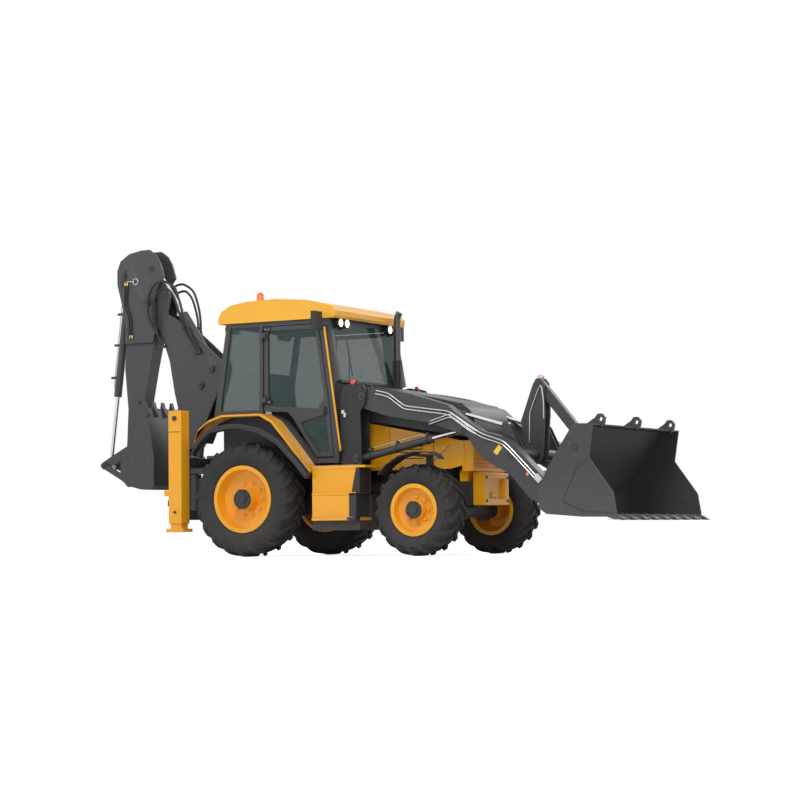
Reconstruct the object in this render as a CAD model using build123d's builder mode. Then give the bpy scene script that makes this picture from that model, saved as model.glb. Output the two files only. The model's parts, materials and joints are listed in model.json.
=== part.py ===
from build123d import *
import math
import os

# Backhoe loader. Millimetres. +X forward, +Y left, +Z up, ground at z = 0.
# Side outlines are lists of (x, z) with x measured forward from the rear axle.

os.makedirs("parts", exist_ok=True)

# Driving dimensions
guide_eye = (-2630, 1116)   # rod's eye of the backhoe bucket's cylinder
guide_boss_r = 50
rear_reach = guide_boss_r - guide_eye[0]
front_reach = 4753          # rear axle to the tips of the loader bucket's teeth
rear_axle_x = (rear_reach - front_reach) / 2
wheelbase = 2220
pin_gap = 0.3              # radial clearance of pins in bores
side_gap = 5               # clearance beside a moving piece
seat_gap = 0.3             # clearance where a moving piece is guided

# Wheels: tyre outer radius is also the hub height
rear_tyre_r, rear_tyre_w, rear_wheel_y = 655, 440, 910
rear_rim_r, rear_rim_w = 383, 356
front_tyre_r, front_tyre_w, front_wheel_y = 502, 400, 930
front_rim_r, front_rim_w = 287, 330
rim_wall = 12
rear_stub_r, front_stub_r = 60, 48

# Chassis; the rails end ahead of the front axle
nose_x = wheelbase + 320
rail_y_in, rail_y_out = 260, 340
step_front_x = wheelbase - 730
kingpin_y, kingpin_r = 650, 28
hood_half_w, hood_wall = 430, 16

# Loader
arm_y_in, arm_y_out, arm_plate = 565, 715, 25
tower_plate = 25
arm_pivot = (1385, 1785)
lift_base = (1306, 1093)
lift_eye = (2640, 1380)
bucket_pivot = (3640, 640)
lever_pivot = (3200, 1100)
lever_apex = (3255, 1875)
tilt_base = (1760, 1775)
tilt_eye = (3070, 1410)
link_pin = (3820, 1190)
loader_pin_r = 30
tilt_y = 490
bucket_half_w, bucket_wall = 1185, 20
tooth_count = 9

# Backhoe
swing_x = -1375
leg_front_x, leg_rear_x = -778, -955
leg_y_in, leg_y_out, leg_wall = 1000, 1170, 14
boom_pivot = (-1600, 640)
knee = (-1980, 3100)
boom_cyl_base = (-1330, 1150)
boom_cyl_eye = (-1220, 2050)
dipper_cyl_base = (-1060, 2240)
dipper_cyl_eye = (-1920, 3500)
bucket_cyl_base = (-2330, 3430)
guide_pivot = (-2250, 1313)
hoe_bucket_pivot = (-2220, 1120)
hoe_bucket_ear = (-2237, 901)
hoe_pin_r = 28
boom_half_w, boom_plate = 105, 25
dipper_half_w, dipper_plate = 140, 25
hoe_bucket_half_w, hoe_bucket_wall = 405, 16

# Cab
cab_half_w = 780
pillar_w = 60
cab_floor_z, cab_base_z, roof_under_z = 1060, 1624, 2690
door_hinge = (100, 805)


def side_plane(y):
    return Plane(origin=(rear_axle_x, y, 0), x_dir=(1, 0, 0), z_dir=(0, -1, 0))


def top_plane(z):
    return Plane(origin=(rear_axle_x, 0, z), x_dir=(1, 0, 0), z_dir=(0, 0, 1))


def front_plane(x):
    return Plane(origin=(rear_axle_x + x, 0, 0), x_dir=(0, 1, 0), z_dir=(1, 0, 0))


def plate(outline, y_low, y_high, corner=0, mode=Mode.ADD):
    """A side outline made solid between two y values."""
    with BuildSketch(side_plane(y_high)) as face:
        with BuildLine():
            Polyline(*outline, close=True)
        make_face()
        if corner:
            fillet(face.vertices(), corner)
    extrude(face.sketch, amount=y_high - y_low, mode=mode)


def slab(outline, z_low, z_high, corner=0, mode=Mode.ADD):
    """A plan outline (x, y) made solid between two heights."""
    with BuildSketch(top_plane(z_low)) as face:
        with BuildLine():
            Polyline(*outline, close=True)
        make_face()
        if corner:
            fillet(face.vertices(), corner)
    extrude(face.sketch, amount=z_high - z_low, mode=mode)


def panel(outline, x_low, x_high, corner=0, mode=Mode.ADD):
    """A front outline (y, z) made solid between two x values."""
    with BuildSketch(front_plane(x_low)) as face:
        with BuildLine():
            Polyline(*outline, close=True)
        make_face()
        if corner:
            fillet(face.vertices(), corner)
    extrude(face.sketch, amount=x_high - x_low, mode=mode)


def block(x_low, x_high, y_low, y_high, z_low, z_high, mode=Mode.ADD):
    centre = (rear_axle_x + (x_low + x_high) / 2, (y_low + y_high) / 2, (z_low + z_high) / 2)
    with Locations(centre):
        Box(x_high - x_low, y_high - y_low, z_high - z_low, mode=mode)


def pin(at, radius, y_low, y_high, mode=Mode.ADD):
    """A cylinder along Y at (x, z)."""
    with BuildSketch(side_plane(y_high)) as face:
        with Locations(at):
            Circle(radius)
    extrude(face.sketch, amount=y_high - y_low, mode=mode)


def post(at, radius, z_low, z_high, mode=Mode.ADD):
    """A cylinder along Z at (x, y)."""
    with BuildSketch(top_plane(z_low)) as face:
        with Locations(at):
            Circle(radius)
    extrude(face.sketch, amount=z_high - z_low, mode=mode)


def bar(start, end, radius, y, start_cut=0, end_cut=0, mode=Mode.ADD):
    """A round bar in the plane y, between two (x, z) points less the cuts."""
    a = Vector(rear_axle_x + start[0], y, start[1])
    b = Vector(rear_axle_x + end[0], y, end[1])
    way = (b - a).normalized()
    with BuildSketch(Plane(origin=a + way * start_cut, z_dir=way)) as face:
        Circle(radius)
    extrude(face.sketch, amount=(b - a).length - start_cut - end_cut, mode=mode)


def distance(p, q):
    return math.hypot(q[0] - p[0], q[1] - p[1])


def span(side, y_a, y_b):
    """The y limits of a piece at one side, lowest first."""
    return sorted((side * y_a, side * y_b))


def strut(start, end, half_h, y_low, y_high):
    """A flat bar with round ends between two (x, z) points."""
    way = (end[0] - start[0], end[1] - start[1])
    length = math.hypot(*way)
    nx, nz = -way[1] / length * half_h, way[0] / length * half_h
    plate([(start[0] + nx, start[1] + nz), (end[0] + nx, end[1] + nz),
           (end[0] - nx, end[1] - nz), (start[0] - nx, start[1] - nz)], y_low, y_high)
    pin(start, half_h, y_low, y_high)
    pin(end, half_h, y_low, y_high)


def keep(part, name):
    part.part.label = name
    export_step(part.part, "parts/" + name + ".step")


# Wheels
def wheel_face(points, x, y, z, side):
    """A wheel section, (width, radius) points, turned round the axle line."""
    with BuildSketch(front_plane(x)) as face:
        with BuildLine():
            Polyline(*[(side * (y + w), z + r) for w, r in points], close=True)
        make_face()
    axle = Axis((rear_axle_x + x, 0, z), (0, 1, 0))
    revolve(face.sketch, axis=axle)


# axle x, tyre radius, tyre width, wheel y, rim radius, rim width, dish depth, hub radius, stub radius
wheel_table = {
    "rear": (0, rear_tyre_r, rear_tyre_w, rear_wheel_y, rear_rim_r, rear_rim_w, 150, 125, rear_stub_r),
    "front": (wheelbase, front_tyre_r, front_tyre_w, front_wheel_y, front_rim_r, front_rim_w,
              95, 110, front_stub_r),
}
seat_drop = 24
wheel_in = {}
for end, (ax, tyre_r, tyre_w, wy, rim_r, rim_w, dish, hub_r, stub_r) in wheel_table.items():
    seat_r = rim_r - seat_drop
    bead = rim_w / 2 - rim_wall
    half = tyre_w / 2
    wheel_in[end] = wy - rim_w / 2
    tyre_section = [(-bead, seat_r), (-bead, rim_r + 4), (-half, (rim_r + tyre_r) / 2 - 10),
                    (-half + 12, tyre_r - 45), (-half + 45, tyre_r - 14), (-half + 110, tyre_r),
                    (half - 110, tyre_r), (half - 45, tyre_r - 14), (half - 12, tyre_r - 45),
                    (half, (rim_r + tyre_r) / 2 - 10), (bead, rim_r + 4), (bead, seat_r)]
    out = rim_w / 2
    face_w = out - dish
    rim_section = [(-out, seat_r - 20), (-out, rim_r), (-bead, rim_r), (-bead, seat_r), (bead, seat_r),
                   (bead, rim_r), (out, rim_r), (out, seat_r - 20), (face_w + 14, seat_r - 34),
                   (face_w, rim_r * 0.62), (face_w, hub_r + 6), (face_w + 40, hub_r),
                   (out - 20, hub_r - 8), (out - 8, hub_r - 30), (out - 8, 0), (-out + 15, 0),
                   (-out + 15, hub_r - 20), (face_w - 26, hub_r), (face_w - 26, rim_r * 0.62),
                   (face_w - 12, seat_r - 40), (-out + 30, seat_r - 26)]
    for side_name, side in (("left", 1), ("right", -1)):
        with BuildPart() as tyre:
            wheel_face(tyre_section, ax, wy, tyre_r, side)
        keep(tyre, end + "_tyre_" + side_name)
        with BuildPart() as rim:
            wheel_face(rim_section, ax, wy, tyre_r, side)
            bore_in = wy - out + 14
            bore_out = wy + 40
            low, high = sorted((side * bore_in, side * bore_out))
            pin((ax, tyre_r), stub_r + pin_gap, low, high, mode=Mode.SUBTRACT)
        keep(rim, end + "_rim_" + side_name)

# Heights of the rails, and the places that the drive line and the engine share
rail_low_z, rail_high_z, rail_front_z = 790, 980, 820
engine_rear_x, engine_front_x, engine_low_z, engine_high_z = 1330, nose_x - 280, 770, 1480
axle_seat_z = 620

# Rear axle: housing, hub flanges and the stubs that the wheels turn on
rear_hub_in = rear_wheel_y - rear_rim_w / 2 + 15
with BuildPart() as rear_axle:
    pin((0, rear_tyre_r), 105, -rear_hub_in + side_gap, rear_hub_in - side_gap)
    pin((0, rear_tyre_r), 195, -170, 170)
    for side in (1, -1):
        low, high = sorted((side * (rear_hub_in - 120), side * (rear_hub_in - side_gap)))
        pin((0, rear_tyre_r), 150, low, high)
        low, high = sorted((side * (rear_hub_in - 10), side * (rear_wheel_y + 38)))
        pin((0, rear_tyre_r), rear_stub_r, low, high)
        block(-80, 80, *span(side, rail_y_in + 2, rail_y_out - 2), rear_tyre_r + 50, rail_low_z)
    block(150, 620, -190, 190, 480, 780)
    block(620, engine_rear_x, -230, 230, 580, 1000)
keep(rear_axle, "rear_axle")

# Front axle: beam with forks that hold the kingpins
front_z = front_tyre_r
fork_half_h = 120
with BuildPart() as front_axle:
    pin((wheelbase, front_z), 80, -kingpin_y + 95, kingpin_y - 95)
    pin((wheelbase, front_z), 114, -150, 90)
    for side in (1, -1):
        low, high = sorted((side * (kingpin_y - 110), side * (kingpin_y - 85)))
        block(wheelbase - 70, wheelbase + 70, low, high, front_z - fork_half_h, front_z + fork_half_h)
        low, high = sorted((side * (kingpin_y - 110), side * kingpin_y))
        for z_low in (front_z - fork_half_h, front_z + fork_half_h - 30):
            block(wheelbase - 42, wheelbase + 42, low, high, z_low, z_low + 30)
            post((wheelbase, side * kingpin_y), 42, z_low, z_low + 30)
        post((wheelbase, side * kingpin_y), kingpin_r, front_z - fork_half_h + 5,
             front_z - fork_half_h + 85)
        post((wheelbase, side * kingpin_y), kingpin_r, front_z + fork_half_h - 85,
             front_z + fork_half_h - 5)
    block(wheelbase - 120, wheelbase + 120, -90, 90, front_z + 60, axle_seat_z)
    bar((engine_rear_x - 300, 540), (wheelbase - 60, front_z + 10), 30, 0)
keep(front_axle, "front_axle")

# Steering knuckles, each with its front fender
knuckle_half_h = fork_half_h - 30 - side_gap
fender_y_in, fender_y_out = 905, 1130
fender_arc = [(-430, 400), (-330, 500), (-180, 590), (20, 640), (180, 632), (290, 595), (335, 560)]
fender_skin = 14
for side_name, side in (("left", 1), ("right", -1)):
    with BuildPart() as knuckle:
        low, high = sorted((side * (kingpin_y - 55), side * (kingpin_y + 70)))
        block(wheelbase - 60, wheelbase + 60, low, high, front_z - knuckle_half_h, front_z + knuckle_half_h)
        post((wheelbase, side * kingpin_y), kingpin_r + pin_gap, 0, 2 * front_z, mode=Mode.SUBTRACT)
        low, high = sorted((side * (kingpin_y + 60), side * (wheel_in["front"] + 12)))
        pin((wheelbase, front_z), 88, low, high)
        low, high = sorted((side * (kingpin_y + 60), side * (front_wheel_y + 38)))
        pin((wheelbase, front_z), front_stub_r, low, high)
        outer = [(wheelbase + dx, front_z + dz) for dx, dz in fender_arc]
        inner = [(x, z - fender_skin) for x, z in reversed(outer)]
        low, high = sorted((side * fender_y_in, side * fender_y_out))
        plate(outer + inner, low, high)
        slab([(wheelbase + 150, side * (fender_y_in - 10)), (wheelbase + 400, side * (fender_y_in - 10)),
              (wheelbase + 400, side * (fender_y_in + 130))], 0, 1500, mode=Mode.SUBTRACT)
        low, high = sorted((side * (kingpin_y + 50), side * (kingpin_y + 70)))
        plate([(wheelbase - 60, front_z), (wheelbase + 60, front_z), (wheelbase + 40, front_z + 600),
               (wheelbase - 40, front_z + 600)], low, high)
        low, high = sorted((side * (kingpin_y + 50), side * (fender_y_in + 60)))
        block(wheelbase - 40, wheelbase + 40, low, high, front_z + 585, front_z + 612)
    keep(knuckle, "knuckle_" + side_name)


# Chassis: two rails, cross members, the rear frame on which the backhoe slides, and the fuel tank
rail_outline = [(-840, rail_low_z), (420, rail_low_z), (640, 600), (nose_x, 600), (nose_x, rail_front_z),
                (nose_x - 160, rail_front_z), (700, 850), (600, rail_high_z), (-840, rail_high_z)]
slide_front_x, slide_rear_x = -865, leg_rear_x
upper_rail_z, lower_rail_z, slide_rail_h = 1040, 430, 110
tower_y_in, tower_y_out = arm_y_in - side_gap - tower_plate, arm_y_out + side_gap + tower_plate
tower_rear_x, tower_foot_z = 1112, 700
with BuildPart() as chassis_frame:
    for side in (1, -1):
        plate(rail_outline, *span(side, rail_y_in, rail_y_out))
    for x_low, x_high, z_low, z_high in ((-840, -750, 830, 970), (1650, 1750, 660, engine_low_z),
                                         (2110, 2330, axle_seat_z, engine_low_z),
                                         (nose_x - 100, nose_x, axle_seat_z, 760)):
        block(x_low, x_high, -rail_y_in, rail_y_in, z_low, z_high)
    for z_low in (upper_rail_z, lower_rail_z):
        block(slide_rear_x, slide_front_x, -leg_y_in, leg_y_in, z_low, z_low + slide_rail_h)
    for side in (1, -1):
        block(slide_front_x, slide_front_x + 25, *span(side, rail_y_in - 60, rail_y_out + 80),
              lower_rail_z, upper_rail_z + slide_rail_h)
        block(slide_rear_x, slide_front_x, *span(side, leg_y_in - 40, leg_y_in),
              lower_rail_z, upper_rail_z + slide_rail_h)
        block(tower_rear_x, 1390, *span(side, rail_y_out, tower_y_in), tower_foot_z - 10, 790)
        block(-450, -350, *span(side, rail_y_in, rail_y_out), rail_high_z, cab_floor_z)
        block(750, 850, *span(side, rail_y_in, rail_y_out), 800, cab_floor_z)
        block(1140, 1160, *span(side, rail_y_in, rail_y_out), 800, 1020)
        block(870, step_front_x + 10, *span(side, rail_y_out, tower_y_out - 1), 290, tower_foot_z - 15)
        block(880, step_front_x, *span(side, tower_y_out - 1, 1000), 290, 399)
keep(chassis_frame, "chassis_frame")

# Stabiliser housings: box tubes at the ends of the rear frame
leg_top, leg_bottom = 1689, 385
with BuildPart() as stabiliser_housings:
    for side in (1, -1):
        low, high = span(side, leg_y_in, leg_y_out)
        block(leg_rear_x, leg_front_x, low, high, leg_bottom, leg_top)
        block(leg_rear_x - 65, leg_rear_x, low, high, 705, 772)
    for side in (1, -1):
        low, high = span(side, leg_y_in + leg_wall, leg_y_out - leg_wall)
        block(leg_rear_x + leg_wall, leg_front_x - leg_wall, low, high, leg_bottom - 10,
              leg_top - 14, mode=Mode.SUBTRACT)
keep(stabiliser_housings, "stabiliser_housings")

# Stabiliser legs: inner tubes with feet
leg_fit = leg_wall + 0.4
foot_bottom, foot_h = 290, 40
for side_name, side in (("left", 1), ("right", -1)):
    with BuildPart() as leg:
        low, high = span(side, leg_y_in + leg_fit, leg_y_out - leg_fit)
        block(leg_rear_x + leg_fit, leg_front_x - leg_fit, low, high, foot_bottom + foot_h, leg_top - 160)
        low, high = span(side, leg_y_in - 15, leg_y_out + 15)
        block(leg_rear_x - 30, leg_front_x + 30, low, high, foot_bottom, foot_bottom + foot_h)
    keep(leg, "stabiliser_leg_" + side_name)

# Engine: one block between the rails, under the hood
with BuildPart() as engine:
    block(engine_rear_x, engine_front_x, -245, 245, engine_low_z, engine_high_z)
keep(engine, "engine_block")

# Engine cowling below the opening hood: side panels, bulkhead and the nose with its slatted grille
hood_rear_x = 1150
hood_split_rear_z, hood_split_front_z = 1545, 1290
side_panel = [(hood_rear_x, 960), (nose_x - 210, 960), (nose_x - 40, 1000), (nose_x - 40, 1265),
              (hood_rear_x, hood_split_rear_z - 20)]
nose_outline = [(nose_x - 70, 930), (nose_x + 60, 930), (nose_x + 72, 1100), (nose_x + 60, 1270),
                (nose_x - 70, 1270)]
slat_count = 6
with BuildPart() as cowling:
    for side in (1, -1):
        plate(side_panel, *span(side, hood_half_w - 20, hood_half_w))
    block(hood_rear_x - 10, hood_rear_x + 10, -hood_half_w + 10, hood_half_w - 10, 1020, 1525)
    plate(nose_outline, -hood_half_w + 10, hood_half_w - 10)
    block(nose_x + 20, nose_x + 160, -hood_half_w + 60, hood_half_w - 60, 970, 1235, mode=Mode.SUBTRACT)
    for row in range(slat_count):
        z_low = 985 + row * 44
        block(nose_x + 10, nose_x + 52, -hood_half_w + 50, hood_half_w - 50, z_low, z_low + 14)
    block(nose_x - 140, nose_x - 40, -rail_y_out, rail_y_out, rail_front_z, 940)
keep(cowling, "engine_cowling")

# Front counterweight bumper, below the grille
with BuildPart() as bumper:
    plate([(nose_x, 552), (nose_x + 150, 552), (nose_x + 150, 905), (nose_x + 60, 925), (nose_x, 925)],
          -300, 300)
    block(nose_x + 100, nose_x + 200, -210, 210, 620, 850, mode=Mode.SUBTRACT)
    block(nose_x + 60, nose_x + 120, -60, 60, 640, 700)
keep(bumper, "front_bumper")

# Hood: a shell with a crowned top and a rounded nose, hinged at its rear edge
hood_top = [(hood_rear_x, 1945), (1500, 1890), (nose_x - 368, 1752), (nose_x - 51, 1680),
            (nose_x + 50, 1600), (nose_x + 100, 1480), (nose_x + 112, 1390),
            (nose_x + 105, hood_split_front_z)]
hood_shell = hood_top + [(hood_rear_x, hood_split_rear_z)]
hood_inside = [(hood_rear_x + hood_wall, 1925), (1500, 1872), (nose_x - 370, 1734), (nose_x - 60, 1664),
               (nose_x + 35, 1590), (nose_x + 83, 1475), (nose_x + 95, 1385),
               (nose_x + 88, hood_split_front_z - 40),
               (hood_rear_x + hood_wall, hood_split_rear_z - 40)]
hood_hinge = (hood_rear_x - 25, 1905)
hood_lug_y, hood_lug_w, hood_pin_r = 200, 40, 10
with BuildPart() as hood:
    plate(hood_shell, -hood_half_w, hood_half_w)
    plate(hood_inside, -hood_half_w + hood_wall, hood_half_w - hood_wall, mode=Mode.SUBTRACT)
    for side in (1, -1):
        low, high = span(side, hood_lug_y, hood_lug_y + hood_lug_w)
        block(hood_hinge[0] - 20, hood_rear_x + 10, low, high, hood_hinge[1] - 20, hood_hinge[1] + 20)
        pin(hood_hinge, hood_pin_r + pin_gap, low, high, mode=Mode.SUBTRACT)
keep(hood, "hood")

# Loader towers: plates either side of each arm's rear end, on a foot from the frame
tower_outline = [(tower_rear_x, tower_foot_z), (tower_rear_x, 1130), (1085, 1800), (1150, 1920), (1290, 1945),
                 (1400, 1920), (1440, 1860), (1440, 1790), (1420, 1700), (1360, 1620), (1370, 1150),
                 (1370, tower_foot_z)]
lift_barrel_r, lift_rod_r, lift_eye_r = 44, 28, 55
lift_y = (arm_y_in + arm_y_out) / 2
lift_half_w = (arm_y_out - arm_y_in) / 2 - arm_plate - side_gap
with BuildPart() as towers:
    for side in (1, -1):
        for y_low in (tower_y_in, arm_y_out + side_gap):
            plate(tower_outline, *span(side, y_low, y_low + tower_plate))
        low, high = span(side, tower_y_in, tower_y_out)
        block(tower_rear_x, tower_rear_x + 25, low, high, tower_foot_z, 1780)
        block(tower_rear_x, 1380, low, high, tower_foot_z, tower_foot_z + 30)
        for at in (arm_pivot, lift_base):
            pin(at, loader_pin_r, low, high)
        pin(lift_base, 50, *span(side, tower_y_in, lift_y - lift_half_w - side_gap))
        pin(lift_base, 50, *span(side, lift_y + lift_half_w + side_gap, tower_y_out))
keep(towers, "loader_towers")

# Loader arms: hollow at the rear, where the lift cylinders fold in, solid ahead of the elbow
arm_outline = [(1272, 1705), (1272, 1862), (1330, 1903), (1685, 1853), (2003, 1791), (2450, 1655),
               (2560, 1560), (2866, 1351), (3075, 1302), (3213, 1229), (3560, 880), (3690, 732),
               (3740, 650), (3705, 562), (3600, 538), (3500, 580), (3440, 612), (3211, 869),
               (2915, 1030), (2770, 1180), (2693, 1300), (2222, 1465), (1703, 1552), (1350, 1665)]
arm_hollow = [(1425, 1500), (1445, 1660), (1500, 1740), (1500, 1850), (1690, 1826), (2000, 1766),
              (2440, 1632), (2566, 1541), (2796, 1390), (2806, 1330), (2746, 1180), (2700, 1000),
              (1500, 1000)]
cross_tube = (3360, 840)
with BuildPart() as loader_arms:
    for side in (1, -1):
        low, high = span(side, arm_y_in, arm_y_out)
        plate(arm_outline, low, high)
        low, high = span(side, arm_y_in + arm_plate, arm_y_out - arm_plate)
        plate(arm_hollow, low, high, mode=Mode.SUBTRACT)
        low, high = span(side, tilt_y - 40, arm_y_in)
        pin(tilt_base, 26, low, high)
        pin(tilt_base, 60, *span(side, arm_y_in - 10, arm_y_in))
    pin(cross_tube, 80, -arm_y_in, arm_y_in)
    for side in (1, -1):
        low, high = span(side, arm_y_in, arm_y_out)
        pin(arm_pivot, loader_pin_r + pin_gap, low, high, mode=Mode.SUBTRACT)
        pin(lever_pivot, 40 + pin_gap, low, high, mode=Mode.SUBTRACT)
        pin(bucket_pivot, loader_pin_r + pin_gap, low, high, mode=Mode.SUBTRACT)
keep(loader_arms, "loader_arms")


def barrel(base, eye, length, radius, bore, y, half_w, eye_r, pin_r):
    """A cylinder barrel with its base eye; bore is the rod's radius."""
    bar(base, eye, radius, y, start_cut=eye_r - 12, end_cut=distance(base, eye) - length)
    pin(base, eye_r, y - half_w, y + half_w)
    bar(base, eye, bore + pin_gap, y, start_cut=eye_r + 20, end_cut=distance(base, eye) - length - 5,
        mode=Mode.SUBTRACT)
    pin(base, pin_r + pin_gap, y - half_w - 20, y + half_w + 20, mode=Mode.SUBTRACT)


def ram(base, eye, length, radius, y, half_w, eye_r):
    """A rod with its eye; the eye ends in the gap between the ears."""
    bar(base, eye, radius, y, start_cut=distance(base, eye) - length, end_cut=0)
    pin(eye, eye_r, y - half_w, y + half_w)


# Lift cylinders, one under each arm
lift_barrel_len, lift_rod_len = 940, 1080
with BuildPart() as lift_barrels:
    for side in (1, -1):
        barrel(lift_base, lift_eye, lift_barrel_len, lift_barrel_r, lift_rod_r, side * lift_y,
               lift_half_w, lift_eye_r, loader_pin_r)
keep(lift_barrels, "lift_cylinder_barrels")
with BuildPart() as lift_rods:
    for side in (1, -1):
        ram(lift_base, lift_eye, lift_rod_len, lift_rod_r, side * lift_y, lift_half_w, lift_eye_r - 16)
keep(lift_rods, "lift_cylinder_rods")

# Tilt cylinders, inside the arms
tilt_barrel_r, tilt_rod_r, tilt_eye_r, tilt_half_w = 38, 24, 42, 28
tilt_barrel_len, tilt_rod_len = 830, 1080
with BuildPart() as tilt_barrels:
    for side in (1, -1):
        barrel(tilt_base, tilt_eye, tilt_barrel_len, tilt_barrel_r, tilt_rod_r, side * tilt_y,
               tilt_half_w, tilt_eye_r, 26)
keep(tilt_barrels, "tilt_cylinder_barrels")
with BuildPart() as tilt_rods:
    for side in (1, -1):
        ram(tilt_base, tilt_eye, tilt_rod_len, tilt_rod_r, side * tilt_y, tilt_half_w, tilt_eye_r)
keep(tilt_rods, "tilt_cylinder_rods")

# Tilt lever: a torque tube between the arms, two tall plates and a crank at each end
lever_outline = [(3100, 1080), (3150, 1000), (3250, 1000), (3300, 1080), (3330, 1560), (3325, 1890),
                 (3285, 1945), (3225, 1945), (3185, 1880), (3035, 1480)]
crank_outline = [(3115, 1060), (3170, 1010), (3250, 1030), (3270, 1120), (3125, 1420), (3080, 1465),
                 (3030, 1440), (3025, 1390)]
lever_gap, lever_plate = 50, 25
with BuildPart() as lever:
    pin(lever_pivot, 65, -arm_y_in + side_gap, arm_y_in - side_gap)
    pin(lever_pivot, 40, -arm_y_out + 5, arm_y_out - 5)
    for side in (1, -1):
        low, high = span(side, lever_gap, lever_gap + lever_plate)
        plate(lever_outline, low, high)
        for y_low in (tilt_y - tilt_half_w - side_gap - 15, tilt_y + tilt_half_w + side_gap):
            low, high = span(side, y_low, y_low + 15)
            plate(crank_outline, low, high)
    pin(lever_apex, 25, -lever_gap - lever_plate, lever_gap + lever_plate)
keep(lever, "tilt_lever")

# Tilt link, from the lever's apex to the bucket
link_half_w = lever_gap - side_gap
with BuildPart() as link:
    strut(lever_apex, link_pin, 56, -link_half_w, link_half_w)
    pin(lever_apex, 25 + pin_gap, -link_half_w, link_half_w, mode=Mode.SUBTRACT)
keep(link, "tilt_link")

# Loader bucket
lip_x = front_reach - 53
bucket_side = [(3768, 500), (3772, 728), (3898, 961), (4180, 1379), (4404, 1372), (4350, 1023),
               (lip_x - 80, 654), (lip_x - 43, 437), (lip_x - 50, 396), (4274, 402), (3860, 436)]
bucket_inside = [(3796, 505), (3796, 720), (3920, 950), (4192, 1356), (4800, 1356), (4800, 418),
                 (4276, 424), (3866, 460)]
tooth_w, tooth_back, tooth_tip_z = 62, lip_x - 110, 361
lug_outline = [(4225, 1374), (4330, 1440), (4365, 1482), (4415, 1482), (4450, 1440), (4440, 1380),
               (4404, 1340), (4300, 1360)]
lug_hole = (4398, 1425)
lug_hole_r, lug_half_t = 22, 18
with BuildPart() as bucket:
    plate(bucket_side, -bucket_half_w, bucket_half_w)
    plate(bucket_inside, -bucket_half_w + bucket_wall, bucket_half_w - bucket_wall, mode=Mode.SUBTRACT)
    plate([(lip_x - 140, 390), (lip_x, 370), (lip_x, 392), (lip_x - 140, 420)], -bucket_half_w,
          bucket_half_w)
    for n in range(tooth_count):
        y_mid = (n - (tooth_count - 1) / 2) * (2 * bucket_half_w - tooth_w) / (tooth_count - 1)
        plate([(tooth_back, 380), (lip_x, 362), (front_reach, tooth_tip_z), (front_reach, tooth_tip_z + 8),
               (lip_x - 10, 408), (tooth_back, 432)], y_mid - tooth_w / 2, y_mid + tooth_w / 2)
    for y_mid in (-950, 0, 950):
        plate(lug_outline, y_mid - lug_half_t, y_mid + lug_half_t)
        pin(lug_hole, lug_hole_r, y_mid - lug_half_t, y_mid + lug_half_t, mode=Mode.SUBTRACT)
    for side in (1, -1):
        for y_low in (arm_y_in - side_gap - 25, arm_y_out + side_gap):
            low, high = span(side, y_low, y_low + 25)
            plate([(3570, 570), (3640, 540), (3790, 490), (3800, 740), (3770, 830), (3690, 740),
                   (3570, 710)], low, high)
        pin(bucket_pivot, loader_pin_r, *span(side, arm_y_in - side_gap - 25, arm_y_out + side_gap + 25))
        plate([(3775, 1130), (3870, 1120), (3915, 960), (4120, 1265), (3900, 1270), (3800, 1265),
               (3760, 1200)], *span(side, link_half_w + side_gap, link_half_w + side_gap + 25))
        pin(link_pin, 34, *span(side, link_half_w + side_gap, link_half_w + side_gap + 45))
keep(bucket, "loader_bucket")

# Backhoe carriage: a plate hooked over the slide rails, with two lugs for the swing post
carriage_front_x, carriage_rear_x = slide_rear_x - seat_gap, slide_rear_x - 50
carriage_half_w, swing_nose_r, swing_pin_r = 310, 85, 40
upper_lug_z, lower_lug_z, lug_h = 985, 450, 70
rail_top_z = upper_rail_z + slide_rail_h
with BuildPart() as carriage:
    block(carriage_rear_x, carriage_front_x, -carriage_half_w, carriage_half_w, lower_rail_z - 40,
          rail_top_z + 40)
    block(carriage_rear_x, slide_front_x - 30, -carriage_half_w, carriage_half_w,
          rail_top_z + seat_gap, rail_top_z + 40)
    block(carriage_rear_x, slide_front_x - 30, -carriage_half_w, carriage_half_w,
          lower_rail_z - 40, lower_rail_z - seat_gap)
    for z_low in (upper_lug_z, lower_lug_z):
        slab([(carriage_rear_x, -200), (carriage_rear_x, 200), (swing_x + 160, swing_nose_r),
              (swing_x, swing_nose_r), (swing_x, -swing_nose_r), (swing_x + 160, -swing_nose_r)],
             z_low, z_low + lug_h)
        post((swing_x, 0), swing_nose_r, z_low, z_low + lug_h)
    post((swing_x, 0), swing_pin_r, lower_lug_z, upper_lug_z + lug_h)
keep(carriage, "backhoe_carriage")

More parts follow.
